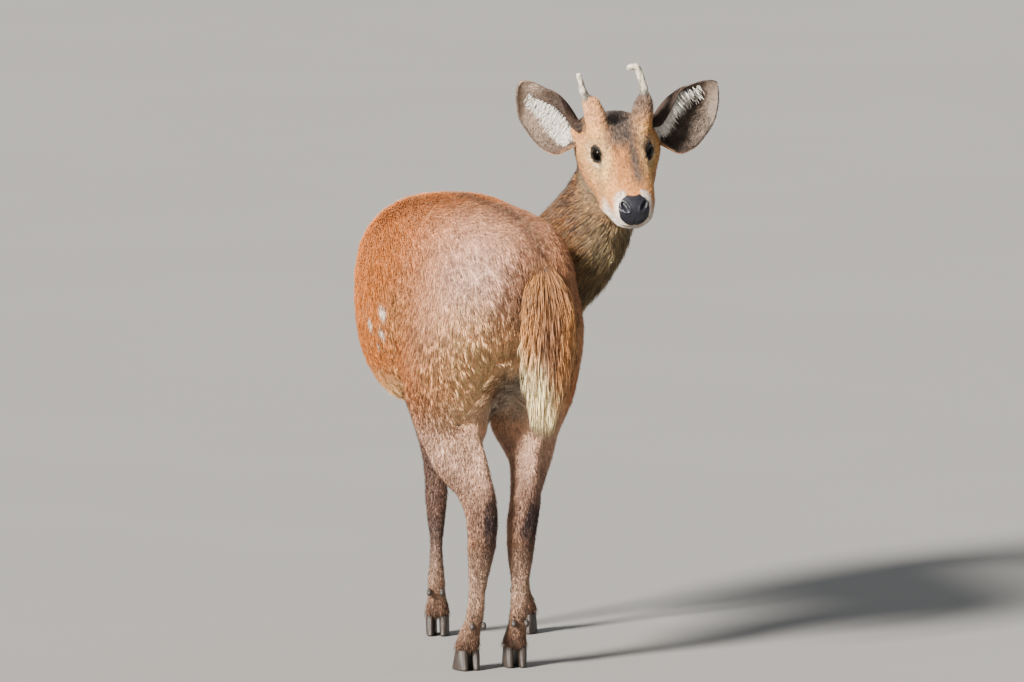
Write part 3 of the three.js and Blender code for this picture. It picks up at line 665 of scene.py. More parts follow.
def gathered_flesh():
    """All flesh nodes and fillers as one loose heap of closed surfaces, and the zone of each triangle."""
    points, faces, zones, start = [], [], [], 0
    names = list(ZONES)
    extra = fillers()
    for thing in [frame["nodes"][node] for node in FLESH] + extra:
        mesh = thing.data
        corners, _ = triangles_of(mesh)
        points.append(points_of(mesh))
        faces.append(corners + start)
        zones.append(np.full(len(corners), names.index(FLESH.get(thing.name, "head"))))
        start += len(mesh.vertices)
    for thing in extra:
        bpy.data.objects.remove(thing)
    return np.concatenate(points), np.concatenate(faces), np.concatenate(zones)


def remeshed(points, faces):
    """One mesh of even faces round a heap of closed surfaces."""
    heap = mesh_from("heap", points, faces)
    modifier = heap.modifiers.new("remesh", "REMESH")
    modifier.mode = "VOXEL"
    modifier.voxel_size = VOXEL * MM
    mesh = bpy.data.meshes.new_from_object(heap.evaluated_get(bpy.context.evaluated_depsgraph_get()))
    bpy.data.objects.remove(heap)
    return mesh


def largest_part(mesh):
    """Drops whatever isn't joined to the largest part of a mesh."""
    edges = edges_of(mesh)
    label = np.arange(len(mesh.vertices))
    settled = False
    while not settled:
        before = label.copy()
        low = np.minimum(label[edges[:, 0]], label[edges[:, 1]])
        np.minimum.at(label, edges[:, 0], low)
        np.minimum.at(label, edges[:, 1], low)
        label = label[label]
        settled = (label == before).all()
    keep = np.bincount(label).argmax()
    work = bmesh.new()
    work.from_mesh(mesh)
    work.verts.ensure_lookup_table()
    bmesh.ops.delete(work, geom=[work.verts[i] for i in np.flatnonzero(label != keep)], context="VERTS")
    work.to_mesh(mesh)
    work.free()
    return mesh


def zone_weights(mesh, tree, zones):
    """How far each vertex belongs to each zone, smoothed so that nothing changes abruptly."""
    nearest = [tree.find_nearest(point)[2] for point in points_of(mesh).tolist()]
    weights = np.eye(len(ZONES))[zones[nearest]]
    return relax(weights, edges_of(mesh), 0.7, 14)


def zone_value(weights, key):
    return weights @ np.array([zone[key] for zone in ZONES.values()])


def set_inside(points, normals, edges, tree, depth):
    """Moves each point along its normal until it lies at its depth under the solids' surface."""
    gap = np.empty(len(points))
    for i, point in enumerate(points.tolist()):
        spot, normal, _, _ = tree.find_nearest(point)
        gap[i] = np.dot(np.subtract(point, spot), normal)
    step = np.clip(-depth - gap, -6 * MM, 6 * MM)
    step = relax(step[:, None], edges, 0.6, 6)
    return points + normals * step


def finer(mesh, wanted):
    """Splits in four the faces whose middle passes a test."""
    work = bmesh.new()
    work.from_mesh(mesh)
    work.faces.ensure_lookup_table()
    middles = np.array([face.calc_center_median() for face in work.faces])
    chosen = [work.faces[i] for i in np.flatnonzero(wanted(middles))]
    edges = {edge for face in chosen for edge in face.edges}
    bmesh.ops.subdivide_edges(work, edges=list(edges), cuts=1, use_grid_fill=True)
    work.to_mesh(mesh)
    work.free()


# The face: lids, nose pad, nostrils and mouth


def eye_axes(side):
    """The eye's directions towards its outer corner, upward and outward, in the head's directions."""
    turn, lift, tilt = (math.radians(EYE[key]) for key in ("turn", "lift", "tilt"))
    up = np.array([0, 0, 1.0])
    level = np.array([side * math.sin(turn), math.cos(turn), 0])
    corner = np.array([side * math.cos(turn), -math.sin(turn), 0])
    facing = level * math.cos(lift) + up * math.sin(lift)
    rise = up * math.cos(lift) - level * math.sin(lift)
    outer = corner * math.cos(tilt) + rise * math.sin(tilt)
    return outer, rise * math.cos(tilt) - corner * math.sin(tilt), facing


def seen_from_eye(head, side):
    """Places in the head as seen from an eye: outward to the corner, up, out of the eye, and distance."""
    rays = head - eye_middle(side)
    outer, up, facing = eye_axes(side)
    return rays @ outer, rays @ up, rays @ facing, np.linalg.norm(rays, axis=1)


def outside_lids(across, height):
    """How far outside the almond between the lids a place is, negative within it."""
    share = np.clip(np.abs(across) / EYE["long"], 0, 1)
    half = EYE["high"] * (1 - share**2.4)
    slope = EYE["high"] * 2.4 * share**1.4 / EYE["long"]
    inside = (np.abs(height) - half) / np.sqrt(1 + slope**2)
    beyond = np.hypot(np.maximum(np.abs(across) - EYE["long"], 0), height)
    return np.where(share < 1, inside, beyond)


def tear_pit(across, height):
    """The groove that runs from the eye's inner corner down towards the nose."""
    return np.exp(-(((across + 18) / 6) ** 2) - ((height + 3.5 - 0.25 * (across + 12)) / 2.4) ** 2)


def shape_lids(head):
    """Lids with a rolled margin round each eye, a crease and brow above, and a tear pit in front."""
    head = head.copy()
    for side in SIDES.values():
        middle = eye_middle(side)
        across, height, out, reach = seen_from_eye(head, side)
        s = outside_lids(across, height)
        near = (out > 2) & (reach < 34)
        lid = EYE["radius"] + 0.5 + 1.3 * np.sqrt(np.clip(s, 0, 1.2) / 1.2)
        open_eye = np.where(s < 0, EYE["radius"] - 2.0, lid)
        away = ramp(s, 1.5, 7)
        wanted = open_eye * (1 - away) + reach * away
        upper = ramp(height, -1, 3)
        wanted = wanted + upper * (1.7 * bump(s, 10.5, 4.5) - 0.9 * bump(s, 4.6, 1.1))
        wanted = wanted - 0.5 * bump(s, 4.4, 1.0) * (1 - upper) - 1.8 * tear_pit(across, height)
        moved = middle + (head - middle) * (wanted / np.maximum(reach, 1))[:, None]
        head = np.where(near[:, None], moved, head)
    return head


# The nose pad's half widths at heights in the head, its top, and how far back it reaches. Then each
# nostril's place across and up, and the line of the mouth from the back to the front
PAD_HEIGHTS = [-33, -29, -22, -11, -3, 2, 6]
PAD_HALVES = [5, 13, 20.5, 22.5, 21.5, 17, 9]
PAD_TOP = 6
PAD_BACK = 103
NOSTRIL = (13, -5)
MOUTH = {"back": 60, "front": 125, "back_up": -43, "front_up": -38}


def pad_depth(head):
    """How far inside the nose pad's outline a place is, negative outside it."""
    left, forward, up = head.T
    half = np.interp(up, PAD_HEIGHTS, PAD_HALVES, left=0, right=0)
    ahead = (forward - PAD_BACK) * 0.8
    return np.minimum.reduce([half - np.abs(left), PAD_TOP - up, up - PAD_HEIGHTS[0], ahead])


def mouth_height(forward):
    return np.interp(forward, [MOUTH["back"], MOUTH["front"]], [MOUTH["back_up"], MOUTH["front_up"]])


def nostril(head, side):
    """How deep the nostril's bowl is at each place, the raised wing round it, and the slit behind it."""
    across, height = (head[:, 0] - side * NOSTRIL[0]) * side, head[:, 2] - NOSTRIL[1]
    slant = across * 0.86 + height * 0.5
    rise = height * 0.86 - across * 0.5
    bowl = (slant / 4.4) ** 2 + (rise / 3.2) ** 2
    slit = np.exp(-(((across - 5.4) / 3.6) ** 2) - ((height + 3.6) / 1.3) ** 2)
    return np.exp(-(bowl**2)), bump(np.sqrt(bowl), 1.6, 0.4), slit


def shape_muzzle(head, normals):
    """The raised pad with its nostrils and groove, the line of the mouth, and the lips."""
    left, forward, up = head.T
    raised = 1.0 * ramp(pad_depth(head), -0.6, 1.4)
    groove = 1.1 * bump(left, 0, 1.3) * ramp(-up, 17, 24) * ramp(forward, 100, 108)
    above = up - mouth_height(forward)
    mouth = ramp(forward, MOUTH["back"] - 3, MOUTH["back"] + 8)
    lips = mouth * (1.0 * bump(above, 3.4, 2.2) + 0.8 * bump(above, -3.2, 2) - 2.6 * bump(above, 0, 0.9))
    shaped = head + normals * (raised - groove + lips)[:, None]
    front = ramp(forward, 96, 106)
    for side in SIDES.values():
        bowl, wing, slit = nostril(head, side)
        shaped[:, 1] += front * (0.9 * wing - 7.5 * bowl - 2.6 * slit)
    return shaped


def near_head(points, forward, reach):
    """Which points lie in the head, ahead of a distance from the eyes."""
    head = in_head(points)
    return (head[:, 1] > forward) & (np.linalg.norm(head, axis=1) < reach) & (head[:, 2] > -100)


def near_eyes(points, reach):
    """Which points lie within a reach of the middle of either eye."""
    rays = [in_head(points) - eye_middle(side) for side in SIDES.values()]
    return np.minimum(*(np.linalg.norm(ray, axis=1) for ray in rays)) < reach


def near_muzzle(points, forward):
    """Which points lie in the muzzle, ahead of a distance from the eyes."""
    head = in_head(points)
    return (head[:, 1] > forward) & (head[:, 1] < 140) & (np.abs(head[:, 0]) < 60) & (np.abs(head[:, 2]) < 90)


# The face gets fine faces ahead of the nape and up to a reach from the point between the eyes.
# Each later round works nearer to an eye, and further forward on the muzzle
HEAD_REACH = 170
NAPE = -45
FINER_ROUNDS = [(32, 52), (21, 96)]


def smooth_hide(mesh, tree, zones):
    """Rounds the facets away and sets the hide inside the solids by the coat's depth."""
    weights = zone_weights(mesh, tree, zones)
    edges = edges_of(mesh)
    smooth = zone_value(weights, "smooth")[:, None]
    put_points(mesh, relax(points_of(mesh), edges, smooth, SMOOTHING_ROUNDS))
    depth = zone_value(weights, "depth") * MM
    put_points(mesh, set_inside(points_of(mesh), normals_of(mesh), edges, tree, depth))


def shape_face(mesh):
    """Gives the face fine faces, and works lids, nose and mouth into it."""
    finer(mesh, lambda middles: near_head(middles, NAPE, HEAD_REACH))
    for reach, forward in FINER_ROUNDS:
        finer(mesh, lambda middles: near_eyes(middles, reach) | near_muzzle(middles, forward))
    shape = points_of(mesh)
    in_front = near_head(shape, NAPE, HEAD_REACH)[:, None]
    put_points(mesh, relax(shape, edges_of(mesh), np.where(in_front, 0.5, 0.0), 8))
    shape = points_of(mesh)
    turned = (normals_of(mesh) @ HEAD_AXES) * [1, -1, 1]
    worked = shape_muzzle(shape_lids(in_head(shape)), turned)
    put_points(mesh, np.where(in_front, from_head(worked), shape))
    mesh.shade_smooth()


def make_hide():
    """One skin over head, neck, torso, dock and legs, with each vertex's share of the zones."""
    points, faces, zones = gathered_flesh()
    tree = BVHTree.FromPolygons(points.tolist(), faces.tolist())
    mesh = largest_part(remeshed(points, faces))
    smooth_hide(mesh, tree, zones)
    shape_face(mesh)
    return add_object("hide", mesh), zone_weights(mesh, tree, zones)


# The lie of the coat. Each line runs through the body the way that the hair lies beside it
NECK_LINE = [
    (4, 546, 500),
    (-42, 640, 505),
    (-112, 690, 525),
    (-160, 697, 560),
    (-196, 675, 610),
    (-210, 640, 668),
]
PEDICLE_LINE = [(24, -24, 10), (34, -36, 38), (38, -45, 60)]
TRUNK_HEIGHTS = (400, 540, 640)
FACE_LEFTS = (-25, 0, 25)
FACE_HEIGHTS = (-45, -5, 25)


def straight_lines():
    """Lines down each leg, from the boxes of its nodes."""
    lines = []
    for node, zone in FLESH.items():
        low, high = (np.array(corner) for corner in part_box(node))
        x, y, _ = (low + high) / 2
        if zone in ("shank", "cannon"):
            lines.append(np.linspace((x, y, high[2]), (x, y, low[2]), 6))
        if zone == "thigh":
            lines.append(np.linspace((x, y - 20 * MM, high[2]), (x, y + 30 * MM, low[2]), 6))
    return lines


def combed_lines():
    """Lines along the legs, trunk, neck, face, pedicles and dock."""
    lines = straight_lines()
    for height in TRUNK_HEIGHTS:
        lines.append(place([(*spine_at(along)[:2], height) for along in range(640, -1, -40)]))
    lines.append(place(through(NECK_LINE, 16))[::-1])
    for left in FACE_LEFTS:
        for up in FACE_HEIGHTS:
            stations = [(left * 0.6, 125, up - 12), (left, 40, up), (left * 1.3, -70, up - 4)]
            lines.append(from_head(through(stations, 10)))
    for side in SIDES.values():
        lines.extend([from_head(on_side(PEDICLE_LINE, side))] * 2)
    lines.append(dock_rows(12)[0])
    return lines


def laid_flat(ways, normals):
    """Directions turned to run along the surface that the normals stand on."""
    return unit(ways - normals * (ways * normals).sum(1, keepdims=True))


def lie_of_coat(points, normals):
    """The way the hair lies at each point, along the surface."""
    lines = combed_lines()
    places = np.concatenate([(line[1:] + line[:-1]) / 2 for line in lines])
    ways = np.concatenate([unit(line[1:] - line[:-1]) for line in lines])
    lie = np.zeros_like(points)
    block, reach = 20000, 35 * MM
    for start in range(0, len(points), block):
        some = slice(start, start + block)
        apart = ((points[some, None] - places[None]) ** 2).sum(-1)
        lie[some] = (1 / (apart + reach**2) ** 2) @ ways
    lie = unit(lie)
    lie[:, 2] -= 0.4 * (1 - np.abs(normals[:, 2]))
    return laid_flat(lie, normals)


# Colours of the coat
COLOURS = {
    name: linear(text)
    for name, text in {
        "flank": "#b5682b",
        "rump": "#d49a75",
        # painted sheen: the pale highlight colour laid on the left of the rump
        "sheen": "#edcdbe",
        "thigh": "#ffc48e",
        "seat": "#ffc78a",
        # dark brown of the stripe along the back, also laid as painted shade on the right seat and beside the
        # tail
        "stripe": "#5e4234",
        "belly": "#e4bb86",
        "groin": "#b5aea2",
        "neck": "#875930",
        "neck_dark": "#4d342a",
        "throat": "#96835f",
        "leg": "#c9977b",
        "leg_pale": "#eac4aa",
        # dark of the hocks and forelegs; on the hind hocks' right sides it is painted shade
        "hock": "#33262a",
        "foot": "#9c765d",
        "face": "#d68c49",
        "cheek": "#ffc87c",
        # the forehead's dark grizzled patch, also laid as painted shade over the eyes and on the left of the
        # crown
        "forehead": "#62524a",
        "white": "#fbf4e8",
        "black": "#17130f",
        "pad": "#1c1c22",
        "pedicle": "#cf9766",
        "ear_back": "#7d5f4c",
        "ear_inside": "#94806f",
        "ear_brown": "#6b574b",
        # dark of the ears and the tear pits, also laid as painted shade where the ears meet the head
        "ear_dark": "#33261f",
        "spot": "#efe4d3",
        "buff": "#e3c49a",
        "tail_top": "#996a48",
        "tail_side": "#e29c5a",
        "tail_tip": "#f8dfa9",
        "antler": "#e3d8c2",
        "eye_rim": "#0b0a09",
        "iris": "#120b07",
        "pupil": "#030303",
    }.items()
}

# Pale spots on the left flank, with their radius, and soft patches with a size along each axis. The
# last two lie in the head. The rump's sheen is a painted highlight; the right seat, the furrow beside
# the tail and the ears' roots get painted shade
SPOTS = [((198, 229, 503), 10), ((198, 239, 471), 8.5), ((207, 278, 481), 8), ((199, 262, 452), 5.5)]
PATCHES = {
    "left_of_rump": ((95, 40, 560), (62, 90, 75)),
    "right_seat_shade": ((-45, 10, 470), (50, 60, 110)),
    "tail_root": ((6, 20, 545), (36, 60, 50)),
    "shade_beside_tail": ((34, 0, 528), (10, 60, 36)),
    "over_tail": ((8, 12, 545), (45, 45, 45)),
    "above_right_hock": ((13, 106, 267), (9, 60, 22)),
    "crown": ((0, -50, 34), (15, 17, 17)),
    "shade_at_ear_root": ((47, -60, 17), (11, 16, 14)),
}

# How dark the painted shade under the brow is over each eye
BROW_SHADE = {"left": 0.75, "right": 0.5}


def mix(colours, name, share):
    """Colours drawn towards a named one."""
    share = np.clip(np.asarray(share, float), 0, 1)[:, None]
    return colours * (1 - share) + COLOURS[name] * share


def overlaid(colours, layers):
    """Colours with layers over them in turn, each a colour's name and how far it covers."""
    for name, share in layers:
        colours = mix(colours, name, share)
    return colours


def painted(base, count, layers):
    """Rows of a base colour with layers over them."""
    return overlaid(np.tile(COLOURS[base], (count, 1)), layers)


def patch(at, name):
    """How far each place belongs to a named soft patch."""
    return blob(at, *PATCHES[name])


def off_the_spine(places):
    """Distance from the tail's root along the spine, and offset to the left of it, on the plan."""
    along = np.arange(0, 700, 20)
    rows = np.array([spine_at(value) for value in along])
    apart = (places[:, None, 0] - rows[None, :, 0]) ** 2 + (places[:, None, 1] - rows[None, :, 1]) ** 2
    nearest = apart.argmin(1)
    x, y, heading = rows[nearest].T
    sine, cosine = np.sin(heading), np.cos(heading)
    dx, dy = places[:, 0] - x, places[:, 1] - y
    return along[nearest] + dx * sine + dy * cosine, dx * cosine - dy * sine


def named_zones(weights):
    return dict(zip(ZONES, weights.T))


def seat_share(at, normals, weights):
    """How far each place belongs to the long hair on the seat and the backs of the thighs."""
    zones = named_zones(weights)
    rear = ramp(normals[:, 1], 0.15, 0.75)
    return rear * ramp(at[:, 2], 365, 450) * fall(at[:, 2], 470, 580) * (zones["torso"] + zones["thigh"])


def trunk_markings(at, normals, weights):
    """Colours of the back, the flanks, the belly and the thighs, with a painted sheen on the rump and
    painted shade on the right seat and beside the tail.
    """
    up = at[:, 2]
    zones = named_zones(weights)
    trunk = zones["torso"] + zones["thigh"]
    haunch = zones["thigh"] + zones["shank"]
    along, aside = off_the_spine(at)
    outer = fall(normals[:, 0] * np.sign(aside), 0.45, 0.95)
    under = ramp(-normals[:, 2], 0.3, 0.9)
    between_legs = bump(aside, 0, 40) * fall(up, 400, 470) * fall(along, 150, 230)
    stripe = bump(aside, 0, 17) * ramp(normals[:, 2], -0.35, 0.3) * fall(along, 480, 620)
    layers = [
        ("rump", 0.7 * fall(along, 120, 260) * ramp(up, 380, 480)),
        ("thigh", 0.8 * haunch * fall(along, 220, 330) * outer),
        # painted sheen: a pale highlight on the left of the rump
        ("sheen", 0.5 * patch(at, "left_of_rump")),
        ("seat", 0.7 * seat_share(at, normals, weights)),
        ("neck", 0.85 * ramp(along, 430, 580) * ramp(up, 320, 430) * trunk),
        ("belly", 0.7 * under * trunk),
        ("groin", 0.85 * between_legs * trunk),
        ("stripe", 0.3 * ramp(normals[:, 2], 0.55, 0.95) * trunk),
        # painted shade on the right seat
        ("stripe", 0.45 * patch(at, "right_seat_shade") * trunk),
        ("stripe", 0.75 * stripe * zones["torso"]),
        ("neck", 0.6 * patch(at, "tail_root") * zones["torso"]),
        # painted shade in the furrow beside the tail
        ("stripe", 0.7 * patch(at, "shade_beside_tail") * trunk),
    ]
    return painted("flank", len(at), layers)


def leg_layers(at, normals, weights):
    """Colours of the legs: pale shanks, dark hocks with painted shade on their right sides, and dark
    forelegs and pasterns.
    """
    forward, up = at[:, 1], at[:, 2]
    zones = named_zones(weights)
    legs = zones["shank"] + zones["cannon"]
    hind = fall(forward, 260, 330)
    rear = ramp(normals[:, 1], 0.0, 0.7)
    right = ramp(-normals[:, 0], -0.55, 0.1)
    return [
        ("leg", zones["shank"] * fall(up, 290, 400)),
        ("foot", zones["cannon"]),
        ("leg_pale", 0.5 * (legs + zones["thigh"]) * hind * bump(up, 325, 60)),
        ("leg_pale", 0.3 * legs * bump(up, 120, 45)),
        # dark hocks, with painted shade on their right sides
        ("hock", 0.95 * legs * hind * bump(up, 218, 62) * np.maximum(0.45 * rear, right)),
        ("hock", 0.75 * legs * (1 - hind) * ramp(up, 60, 160) * fall(up, 260, 340)),
        ("stripe", 0.7 * legs * fall(up, 40, 66)),
        ("stripe", 0.5 * legs * patch(at, "above_right_hock")),
    ]


def neck_layers(normals, weights):
    """Colours of the neck: brown, paler under the throat and darker along the nape."""
    neck = named_zones(weights)["neck"]
    return [
        ("neck", neck),
        ("throat", 0.85 * ramp(-normals[:, 2], -0.15, 0.5) * neck),
        ("neck_dark", 0.6 * ramp(normals[:, 2], 0.25, 0.85) * neck),
    ]


def body_markings(points, normals, weights):
    """The coat's colours from the tail to the neck."""
    at = placed_back(points)
    spots = [
        ("spot", 1.2 * np.exp(-((np.linalg.norm(at - spot, axis=1) / size) ** 3)))
        for spot, size in SPOTS
    ]
    layers = neck_layers(normals, weights) + leg_layers(at, normals, weights) + spots
    return overlaid(trunk_markings(at, normals, weights), layers)


def forehead_share(head):
    """The dark grizzled patch on the forehead, and the streak down beside the bridge of the nose."""
    left, forward, up = head.T
    grizzle = np.exp(-((left / 25) ** 4)) * fall(forward, 0, 34) * ramp(up, -4, 12)
    streak = bump(left, 12, 9) * ramp(forward, -8, 10) * fall(forward, 70, 104) * ramp(up, -22, -4)
    return np.maximum(grizzle, streak) * fall(np.abs(left), 26, 36)


def head_markings(head):
    """Colours of the crown, cheeks, pedicles and muzzle, with painted shade where the ears meet the head
    and on the left side of the crown.
    """
    left, forward, up = head.T
    aside = np.abs(left)
    root = patch(np.column_stack([aside, forward, up]), "shade_at_ear_root")
    below = ramp(forward, 60, 92) * fall(up, -32, -12) * np.maximum(ramp(aside, 4, 14), fall(up, -38, -28))
    rim = ramp(pad_depth(head), -7, -2) * np.maximum(ramp(aside, 8, 14), fall(up, -30, -20))
    chin = fall(up - mouth_height(forward), -8, -3) * ramp(forward, 66, 84)
    layers = [
        ("cheek", 0.9 * bump(forward, 25, 50) * ramp(aside, 12, 28) * ramp(up, -50, -15)),
        ("throat", 0.8 * ramp(-up, 44, 62) * fall(forward, 50, 84)),
        ("neck", 0.7 * ramp(-forward, 56, 90)),
        ("pedicle", ramp(up, 26, 40)),
        ("forehead", 0.95 * forehead_share(head)),
        # painted shade on the left side of the crown
        ("forehead", 0.85 * ramp(up, 32, 54) * (left > 0)),
        # painted shade where the ears meet the head
        ("ear_dark", 1.1 * root),
        ("white", 0.8 * below),
        ("white", 0.7 * rim),
        ("white", 0.95 * chin),
    ]
    return painted("face", len(head), layers)


def eye_layers(head, name):
    """Painted shade under the brow over an eye, a pale ring below it, the dark groove in front of it,
    and black lids.
    """
    across, height, out, reach = seen_from_eye(head, SIDES[name])
    s = outside_lids(across, height)
    near = (out > 0) & (reach < 44)
    above = ramp(height, 2, 9)
    return [
        # painted shade under the brow
        ("forehead", BROW_SHADE[name] * near * above * bump(s, 7, 6)),
        ("white", 0.3 * near * (1 - above) * bump(s, 8, 2.6)),
        ("ear_dark", 0.85 * near * tear_pit(across, height)),
        ("black", near * fall(s, 2.6, 4.6)),
    ]


def face_markings(points):
    """The coat's colours on the head, and where the skin is bare."""
    head = in_head(points)
    forward, up = head[:, 1], head[:, 2]
    line = bump(up - mouth_height(forward), 0, 1.2) * ramp(forward, 58, 66)
    bare = ramp(pad_depth(head), -0.4, 0.6)
    layers = eye_layers(head, "left") + eye_layers(head, "right")
    layers += [("black", 0.9 * line), ("pad", bare)]
    return overlaid(head_markings(head), layers), bare


def markings(points, normals, weights):
    """Colours and bareness anywhere on the hide."""
    face, bare = face_markings(points)
    share = named_zones(weights)["head"]
    colours = body_markings(points, normals, weights)
    return colours * (1 - share[:, None]) + face * share[:, None], bare * share


# Hair. A short tuft is a spike of four triangles. A long lock is a closed blade: a sunk root, rings
# of left edge, ridge and right edge, and a tip
TUFT_PATCH = 0.003
SPIKE_CORNERS = np.array([(0, 2, 3), (2, 1, 3), (0, 3, 1), (0, 1, 2)])
SPIKE_MAP = np.array([(-0.5, -0.5), (0.5, -0.5), (0, -0.2), (0, 0.5)])


def hair_mesh(name, points, faces, colours, uv, spread):
    """Tufts or locks as one piece. The spread is where the points of each lie round its root's uv."""
    thing = mesh_from(name, points.reshape(-1, 3), faces.reshape(-1, 3))
    set_colours(thing.data, colours.reshape(-1, 3))
    spots = uv[:, None] + TUFT_PATCH * spread[None]
    set_uv(thing.data, spots.reshape(-1, 2)[faces.reshape(-1)])
    finish_piece(thing, "coat")
    return thing


def spikes(name, roots, tips, out, halves, colours, uv, slot):
    """Joined spikes. Colours are pairs, at root and tip, and uv is the place of each root on the map."""
    count = len(roots)
    way = unit(tips - roots)
    side = unit(np.cross(way, out))
    ridge = np.cross(side, way)
    points = np.stack([roots - side * halves, roots + side * halves, roots + ridge * halves * 0.7, tips], 1)
    faces = SPIKE_CORNERS[None] + 4 * np.arange(count)[:, None, None]
    return hair_mesh(name, points, faces, colours[:, [0, 0, 0, 1]], uv, SPIKE_MAP)


def blade_corners(rings):
    """The triangles of one blade with as many rings."""
    faces = []
    last = 3 * (rings - 1)
    for edge in range(3):
        a, b = 1 + edge, 1 + (edge + 1) % 3
        faces.append((0, b, a))
        faces.append((a + last, b + last, last + 4))
        for low in range(0, last, 3):
            faces.append((a + low, b + low, b + low + 3))
            faces.append((a + low, b + low + 3, a + low + 3))
    return np.array(faces)


def blades(name, paths, out, halves, colours, uv):
    """Joined blades. Paths are (blade, row, xyz) with the root first and the tip last, halves are the
    half widths at the rows between, and uv is the place of each root on the skin's map."""
    count, rows, _ = paths.shape
    rings = rows - 2
    along = unit(paths[:, 2:] - paths[:, :-2])
    side = unit(np.cross(along, out[:, None]))
    ridge = np.cross(side, along)
    wide = halves[..., None]
    middle = paths[:, 1:-1]
    ring = np.stack([middle - side * wide, middle + ridge * wide * 0.55, middle + side * wide], 2)
    points = np.concatenate([paths[:, :1], ring.reshape(count, -1, 3), paths[:, -1:]], 1)
    faces = blade_corners(rings)[None] + np.arange(count)[:, None, None] * (3 * rings + 2)
    row_of = np.concatenate([[0], np.repeat(np.arange(1, rings + 1), 3), [rows - 1]])
    x = np.concatenate([[0.5], np.tile([0.0, 0.5, 1.0], rings), [0.5]]) - 0.5
    y = row_of / (rows - 1) - 0.5
    return hair_mesh(name, points, faces, colours[:, row_of], uv, np.column_stack([x, y]))


def scattered(mesh, density, count, rng):
    """Random places on a mesh, more of them where it is denser: corners, loops and weights of corners."""
    corners, loops = triangles_of(mesh)
    chance = areas_of(points_of(mesh), corners) * density[corners].mean(1)
    total = np.cumsum(chance)
    even = (np.arange(count) + rng.random(count)) / count
    chosen = np.minimum(np.searchsorted(total, even * total[-1]), len(total) - 1)
    u, v = rng.random((2, count))
    flip = u + v > 1
    u, v = np.where(flip, 1 - u, u), np.where(flip, 1 - v, v)
    return corners[chosen], loops[chosen], np.column_stack([1 - u - v, u, v])


def read_off(values, corners, weights):
    """Values at vertices or loops, read at places inside triangles."""
    return (values[corners] * weights[..., None]).sum(1)


def grouped(roots, size, rng):
    """Roots in groups of neighbours: each group's leader, and the number of each root's group."""
    leaders = rng.choice(len(roots), max(len(roots) // size, 1), replace=False)
    tree = KDTree(len(leaders))
    for i, spot in enumerate(roots[leaders].tolist()):
        tree.insert(spot, i)
    tree.balance()
    return leaders, np.array([tree.find(spot)[1] for spot in roots.tolist()])


def clumped(roots, tips, strength, rng):
    """Tips drawn towards that of their clump's leader."""
    leaders, group = grouped(roots, IN_CLUMP, rng)
    return tips + (tips[leaders][group] - tips) * strength


# How many tufts the coat has in all and at most in a piece, how many draw together in a clump, and
# how many share a tone
COAT_TUFTS = 292000
MOST_IN_PIECE = 49500
IN_CLUMP = 22
OF_ONE_TONE = 7

# Between which shares of their zone's own values tufts vary
TUFT_RANGE = {"length": (0.7, 1.3), "half": (0.7, 1.25), "lift": (0.5, 1.6)}


def coat_pieces(at, weights):
    """Names of the coat's pieces, with how far each covers the hide at each vertex."""
    zones = named_zones(weights)
    forward = at[:, 1]
    along, aside = off_the_spine(at)
    legs = zones["shank"] + zones["cannon"]
    trunk = 1 - legs - zones["head"] - zones["neck"]
    left_side, rear, hind = aside > 0, along < 300, forward < 330
    return {
        "coat_rump_left": trunk * rear * left_side,
        "coat_rump_right": trunk * rear * ~left_side,
        "coat_chest_left": trunk * ~rear * left_side,
        "coat_chest_right": trunk * ~rear * ~left_side,
        "coat_neck": zones["neck"],
        "coat_head": zones["head"],
        "coat_hind_legs": legs * hind,
        "coat_fore_legs": legs * ~hind,
    }


SLOTS = {"coat_head": "face_hair", "coat_hind_legs": "leg_hair", "coat_fore_legs": "leg_hair"}


def hairless(points, weights, bare):
    """Places where no tuft grows: the nose pad, between and along the lids, and the mouth's line."""
    head = in_head(points)
    hidden = bare > 0.3
    for side in SIDES.values():
        across, height, out, reach = seen_from_eye(head, side)
        hidden |= (outside_lids(across, height) < 1.8) & (out > 0) & (reach < 24)
    lips = np.abs(head[:, 2] - mouth_height(head[:, 1])) < 0.8
    return hidden | (lips & (head[:, 1] > 66) & (named_zones(weights)["head"] > 0.5))


def coat_plan(points, normals, weights):
    """At each vertex: length, half width, lift and clumping of tufts, and shares of dark and pale ones."""
    zones = named_zones(weights)
    at, head = placed_back(points), in_head(points)
    plan = {key: zone_value(weights, key) for key in ("length", "half", "lift", "clump", "dense", "tone")}
    face = ramp(head[:, 1], -10, 90) * zones["head"]
    muzzle = ramp(head[:, 1], 60, 100) * zones["head"]
    crown = patch(head, "crown") * zones["head"]
    seat = seat_share(at, normals, weights)
    under = ramp(-normals[:, 2], 0.2, 0.8) * (zones["torso"] + zones["neck"])
    coronet = fall(at[:, 2], 36, 52) * zones["cannon"]
    over_tail = patch(at, "over_tail") * zones["torso"]
    longer = 1.1 * crown + 0.55 * seat + 0.5 * under + 0.9 * coronet + 1.8 * over_tail
    plan["length"] *= 1 - 0.25 * face - 0.2 * muzzle + longer
    plan["lift"] *= 1 + 1.4 * crown + 0.5 * over_tail
    plan["half"] *= 1 - 0.2 * face + 0.15 * seat
    plan["clump"] += 0.2 * seat + 0.15 * under
    grizzled = forehead_share(head) * zones["head"]
    legs = zones["shank"] + zones["cannon"]
    plan["dark"] = 0.07 + 0.25 * grizzled + 0.2 * zones["neck"] + 0.04 * zones["head"]
    plan["pale"] = 0.10 + 0.22 * grizzled + 0.14 * zones["neck"] - 0.06 * legs
    return plan


def share_below(share):
    """The value that the mean of two even draws stays below in a share of the cases."""
    return np.sqrt(np.clip(share, 0, 0.5) / 2)


